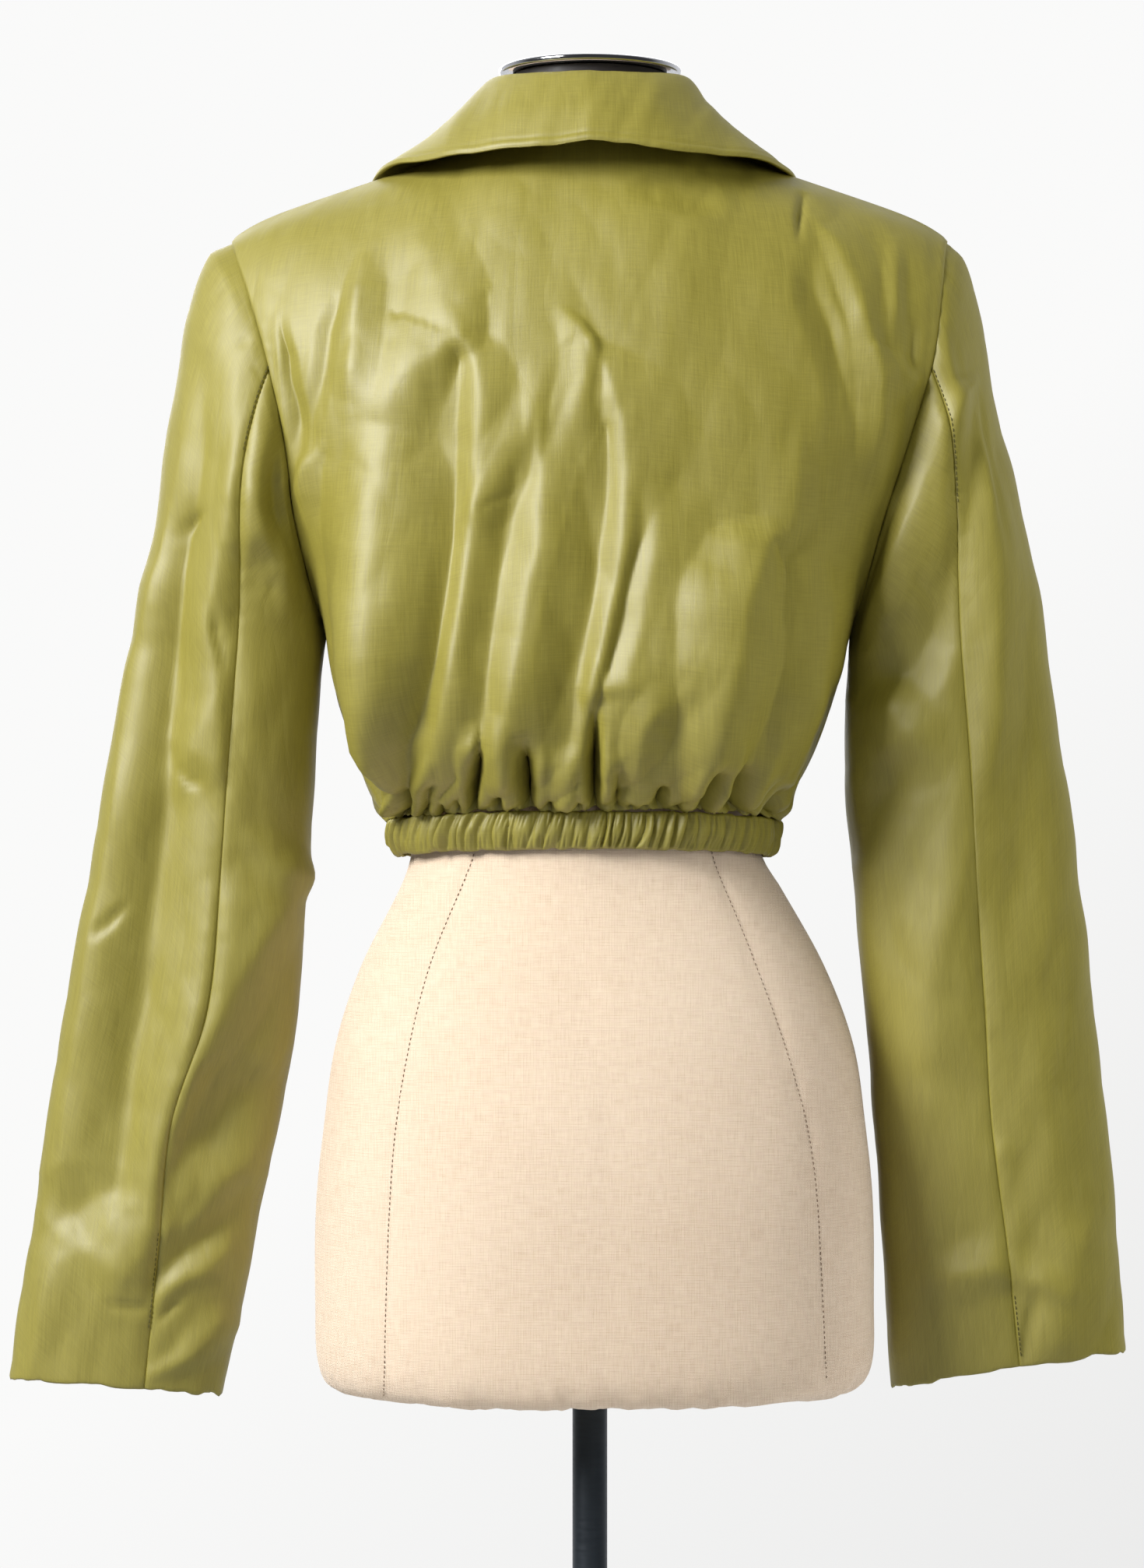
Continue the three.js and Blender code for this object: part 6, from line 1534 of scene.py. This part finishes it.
CAP_EDGE = [(50, 1510), (53.5, 1510.2), (54.5, 1511.5), (54.5, 1513), (53.2, 1514)]
RECESS = [(0, 1504.3), (46, 1504.3), (46, 1509.7), (0, 1509.7)]
SOCKET = [(10.7, 8.3), (18, 8.3), (18, 47.3), (15, 50.3), (10.7, 50.3)]
for name, profile, node, slot, material in (
    ("stand_base", [(0, 0), (190, 0), (190, 6.5), (188, 8), (0, 8)], "base_plate", "dark_metal", satin_black),
    ("stand_socket", SOCKET, "pole_socket", "dark_metal", satin_black),
    ("stand_pole", [(0, 8.3), (10.4, 8.3), (10.4, 723.2), (0, 723.2)], "pole", "dark_metal", satin_black),
    ("cap_recess", RECESS, "neck_ring", "dark_metal", dark_rubber),
    ("cap_disc", [(0, 1510), *CAP_EDGE, (0, 1514)], "neck_cap", "chrome", chrome),
):
    turned_piece(name, profile, node, material)


# %% Buttons
BUTTON = [(0, 0), (8.2, 0), (9, 0.9), (9, 2.1), (8.2, 3), (7.2, 2.6), (5.2, 2.0), (0, 2.0)]
HOLE_OUT, HOLE_RADIUS, HOLE_SIDES = 2.3, 1.1, 16  # in millimetres, and how many sides


def bore(made, x, y):
    """Drills a round hole through a piece at (x, y)."""
    n = HOLE_SIDES
    turns = np.linspace(0, 2 * math.pi, n, endpoint=False)
    ring = [(x + HOLE_RADIUS * math.cos(t), y + HOLE_RADIUS * math.sin(t)) for t in turns]
    faces = [(k, (k + 1) % n, n + (k + 1) % n, n + k) for k in range(n)]
    faces += [tuple(range(n))[::-1], tuple(range(n, 2 * n))]
    drill = bpy.data.meshes.new("drill")
    drill.from_pydata([(a * MM, b * MM, z * MM) for z in (-2, 5) for a, b in ring], [], faces)
    cutter = added("drill", drill)
    cut = made.modifiers.new("hole", "BOOLEAN")
    cut.object = cutter
    cut.solver = "EXACT"
    depsgraph = bpy.context.evaluated_depsgraph_get()
    whole = bpy.data.meshes.new_from_object(made.evaluated_get(depsgraph))
    made.modifiers.clear()
    made.data = whole
    bpy.data.objects.remove(cutter)


def button(name, stands_for, at):
    """A dished disc with a rounded rim and four holes, facing -Y, sewn on with a cross of thread."""
    low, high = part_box(at)
    centre = (low + high) / 2 / MM
    made = turned_piece(name, BUTTON, stands_for, button_horn, sides=64, round_off=0.5)
    for x, y in ((1, 1), (1, -1), (-1, 1), (-1, -1)):
        bore(made, x * HOLE_OUT, y * HOLE_OUT)
    upright = np.array([[1, 0, 0], [0, 0, -1], [0, 1, 0]], float)
    for vertex in made.data.vertices:
        q = upright @ (np.array(vertex.co) / MM)
        vertex.co = (q + (centre[0], centre[1] + 1.5, centre[2])) * MM
    smooth_by_angle(made)
    return made


button_at_the_break = button("button_at_the_break", "button_break", "button_break")
button_on_the_band = button("button_on_the_band", "button_band", "button_band")

# %% [markdown]
# ## Stitching
# Thread shows along the form's long seams, and here and there where a sleeve seam is pulled open.
# Each line is a row of separate stitches: a short bent tube of thread that dives into the cloth at
# both ends. The rows follow the seams of the pieces that they close.

# %% Stitches
def spaced(line, normals, step):
    """Points every step mm along a line, with the way along and the way out of the cloth."""
    s = length_along(line)
    at = np.arange(step / 2, s[-1], step)
    pick = lambda values: np.stack([np.interp(at, s, values[:, k]) for k in range(3)], axis=1)
    way = np.gradient(pick(line), axis=0)
    out = pick(normals)
    return pick(line), way / np.linalg.norm(way, axis=1)[:, None], out / np.linalg.norm(out, axis=1)[:, None]


def stitches(name, rows, thread, pitch, length, thick):
    """One object for all the stitches of several rows; each row is (line, normals)."""
    sides, rings = 6, 5
    vertices, faces = [], []
    for line, normals in rows:
        for place, way, out in zip(*spaced(line, normals, pitch)):
            across = np.cross(way, out)
            first = len(vertices)
            for k in range(rings):
                t = k / (rings - 1)
                round_end = math.sin(math.pi * mix(0.12, 0.88, t)) ** 0.5 * thick / 2
                middle = place + way * (t - 0.5) * length + out * (0.55 * math.sin(math.pi * t) - 0.1)
                for q in range(sides):
                    turn = 2 * math.pi * q / sides
                    vertices.append(middle + (across * math.cos(turn) + out * math.sin(turn)) * round_end)
            for k in range(rings - 1):
                for q in range(sides):
                    a, b = first + k * sides + q, first + k * sides + (q + 1) % sides
                    faces.append((a, b, b + sides, a + sides))
            faces.append(tuple(range(first, first + sides))[::-1])
            faces.append(tuple(range(first + (rings - 1) * sides, first + rings * sides)))
    made = mesh_object(name, vertices, faces)
    print(f"{name}: {len(faces) // (sides * (rings - 1) + 2)} stitches")
    return wear(made, thread)


def under_view(made, path, from_behind=True):
    """Where rays through an as-seen path meet a piece, with the surface's normals there."""
    mesh = made.data
    tree = BVHTree.FromPolygons([v.co for v in mesh.vertices], [f.vertices for f in mesh.polygons])
    eye = Vector((0, VIEW_DISTANCE * MM * (1 if from_behind else -1), VIEW_HEIGHT * MM))
    line, normals = [], []
    for x, z in through(np.array(path, float)[:, None, :], np.linspace(0, 1, 90)):
        place, normal, _, _ = tree.ray_cast(eye, Vector((x * MM, 0, z * MM)) - eye)
        if place is not None:
            line.append(np.array(place) / MM)
            normals.append(np.array(normal))
    return np.array(line), np.array(normals)


form_seams = [under_view(form_torso, path) for path in FORM_SEAMS]
form_seams += [under_view(form_torso, path, False) for path in FORM_SEAMS_BEFORE]
stitches("stitches_of_the_form", form_seams, form_thread, 3.1, 1.9, 0.5)
for sign, side in ((LEFT, "left"), (RIGHT, "right")):
    name = f"stitches_of_the_{side}_sleeve"
    stitches(name, SEAM_LINES[sign], olive_thread, 3.2, 2.3, 0.55)
for made in (button_at_the_break, button_on_the_band):
    corners = np.array([v.co for v in made.data.vertices]) / MM
    x, z = (corners.min(axis=0) + corners.max(axis=0))[[0, 2]] / 2
    front = corners[:, 1].min() + 1.0
    crossing = []
    for lean in (-1, 1):
        line = np.array([(x + t * 2.4, front, z + lean * t * 2.4) for t in (-1.6, 0, 1.6)])
        crossing.append((line, np.tile([0.0, -1.0, 0.0], (3, 1))))
    stitches("thread_of_" + made.name, crossing, olive_thread, 5.0, 4.8, 0.9)


# %% [markdown]

# %% [markdown]
# ## Light, floor and backdrop
# Shiny cloth shows its folds by what it mirrors, so it wants large soft lights with darker gaps
# between them. A strong panel hangs high on the left. The four others are weak and only open up
# the shadows; those on the camera's side don't show as shines on the cloth. The room itself is
# pale, and looks white behind the form.

# %% Studio
scene = bpy.context.scene
scene.view_settings.view_transform = "Standard"
ROOM_DARK, ROOM_BRIGHT = 0.04, 0.7
# painted shade on the wall: its lower right keeps this share of the brightness
WALL_PAINTED_SHADE = 0.86
world = Recipe("pale_room", "worlds", "Background")
scene.world = world.owner
direction = world.node("SeparateXYZ", {0: world.node("TexCoord").outputs["Generated"]}).outputs
# The room is bright before the blazer, on the far side, and dark behind the camera.
strength = world.span(direction["Y"], ROOM_DARK, ROOM_BRIGHT, 0.1, -0.8)
world.finished({"Color": (0.96, 0.97, 1.0, 1), "Strength": strength})
# The wall that the camera sees carries painted shade: it is a little darker toward its lower right.
painted_wall_shade = world.span(world.math("ADD", direction["X"], direction["Z"]), 1.0, WALL_PAINTED_SHADE, 0.0, -0.3)
wall = world.node("Background", {"Color": (0.955, 0.955, 0.95, 1), "Strength": painted_wall_shade})
seen_directly = world.node("LightPath").outputs["Is Camera Ray"]
choice = world.node("MixShader", {0: seen_directly, 1: world.shader.outputs[0], 2: wall.outputs[0]})
world.feed(world.tree.nodes["World Output"], "Surface", choice.outputs[0])


def panel_light(name, place, aim, size, power, mirrored=True):
    data = bpy.data.lights.new(name, "AREA")
    data.shape = "RECTANGLE"
    data.size, data.size_y = size
    data.energy = power
    made = added(name, data)
    made.location = place
    made.visible_glossy = mirrored
    made.rotation_euler = (Vector(aim) - Vector(place)).to_track_quat("-Z", "Y").to_euler()


panel_light("key_high_left", (2.3, 1.9, 2.65), (0, 0.1, 1.15), (1.3, 1.6), 185)
panel_light("fill_behind_the_camera", (-1.3, 3.6, 1.7), (0, 0, 1.0), (2.4, 2.4), 29, False)
panel_light("fill_from_the_right", (-3.0, 0.2, 1.2), (0, 0, 1.0), (2.0, 2.4), 43, False)
panel_light("fill_from_above", (-0.9, 1.2, 3.4), (0, 0, 1.1), (1.6, 1.6), 12, False)
panel_light("light_from_before", (0.6, -2.6, 2.2), (0, 0, 1.1), (2.0, 2.0), 45)

FLOOR_RADIUS, FLOOR_HEIGHT = 1.9, -0.0005  # in metres; just under the foot
floor = bpy.data.meshes.new("floor")
turns = np.linspace(0, 2 * math.pi, 96, endpoint=False)
corners = [(FLOOR_RADIUS * math.cos(t), FLOOR_RADIUS * math.sin(t), FLOOR_HEIGHT) for t in turns]
floor.from_pydata(corners, [], [tuple(range(len(corners)))])
ground = added("floor", floor)
plaster = Recipe("pale_floor")
speckle = plaster.noise((40, 40, 40), 3.0, where="Object")
pale = plaster.ramp(speckle, (0.3, (0.62, 0.62, 0.61, 1)), (0.7, (0.68, 0.68, 0.67, 1)))
wear(ground, plaster.finished({"Base Color": pale, "Roughness": 0.85}))
ground.visible_glossy = False  # a pale floor would veil the planes that face down
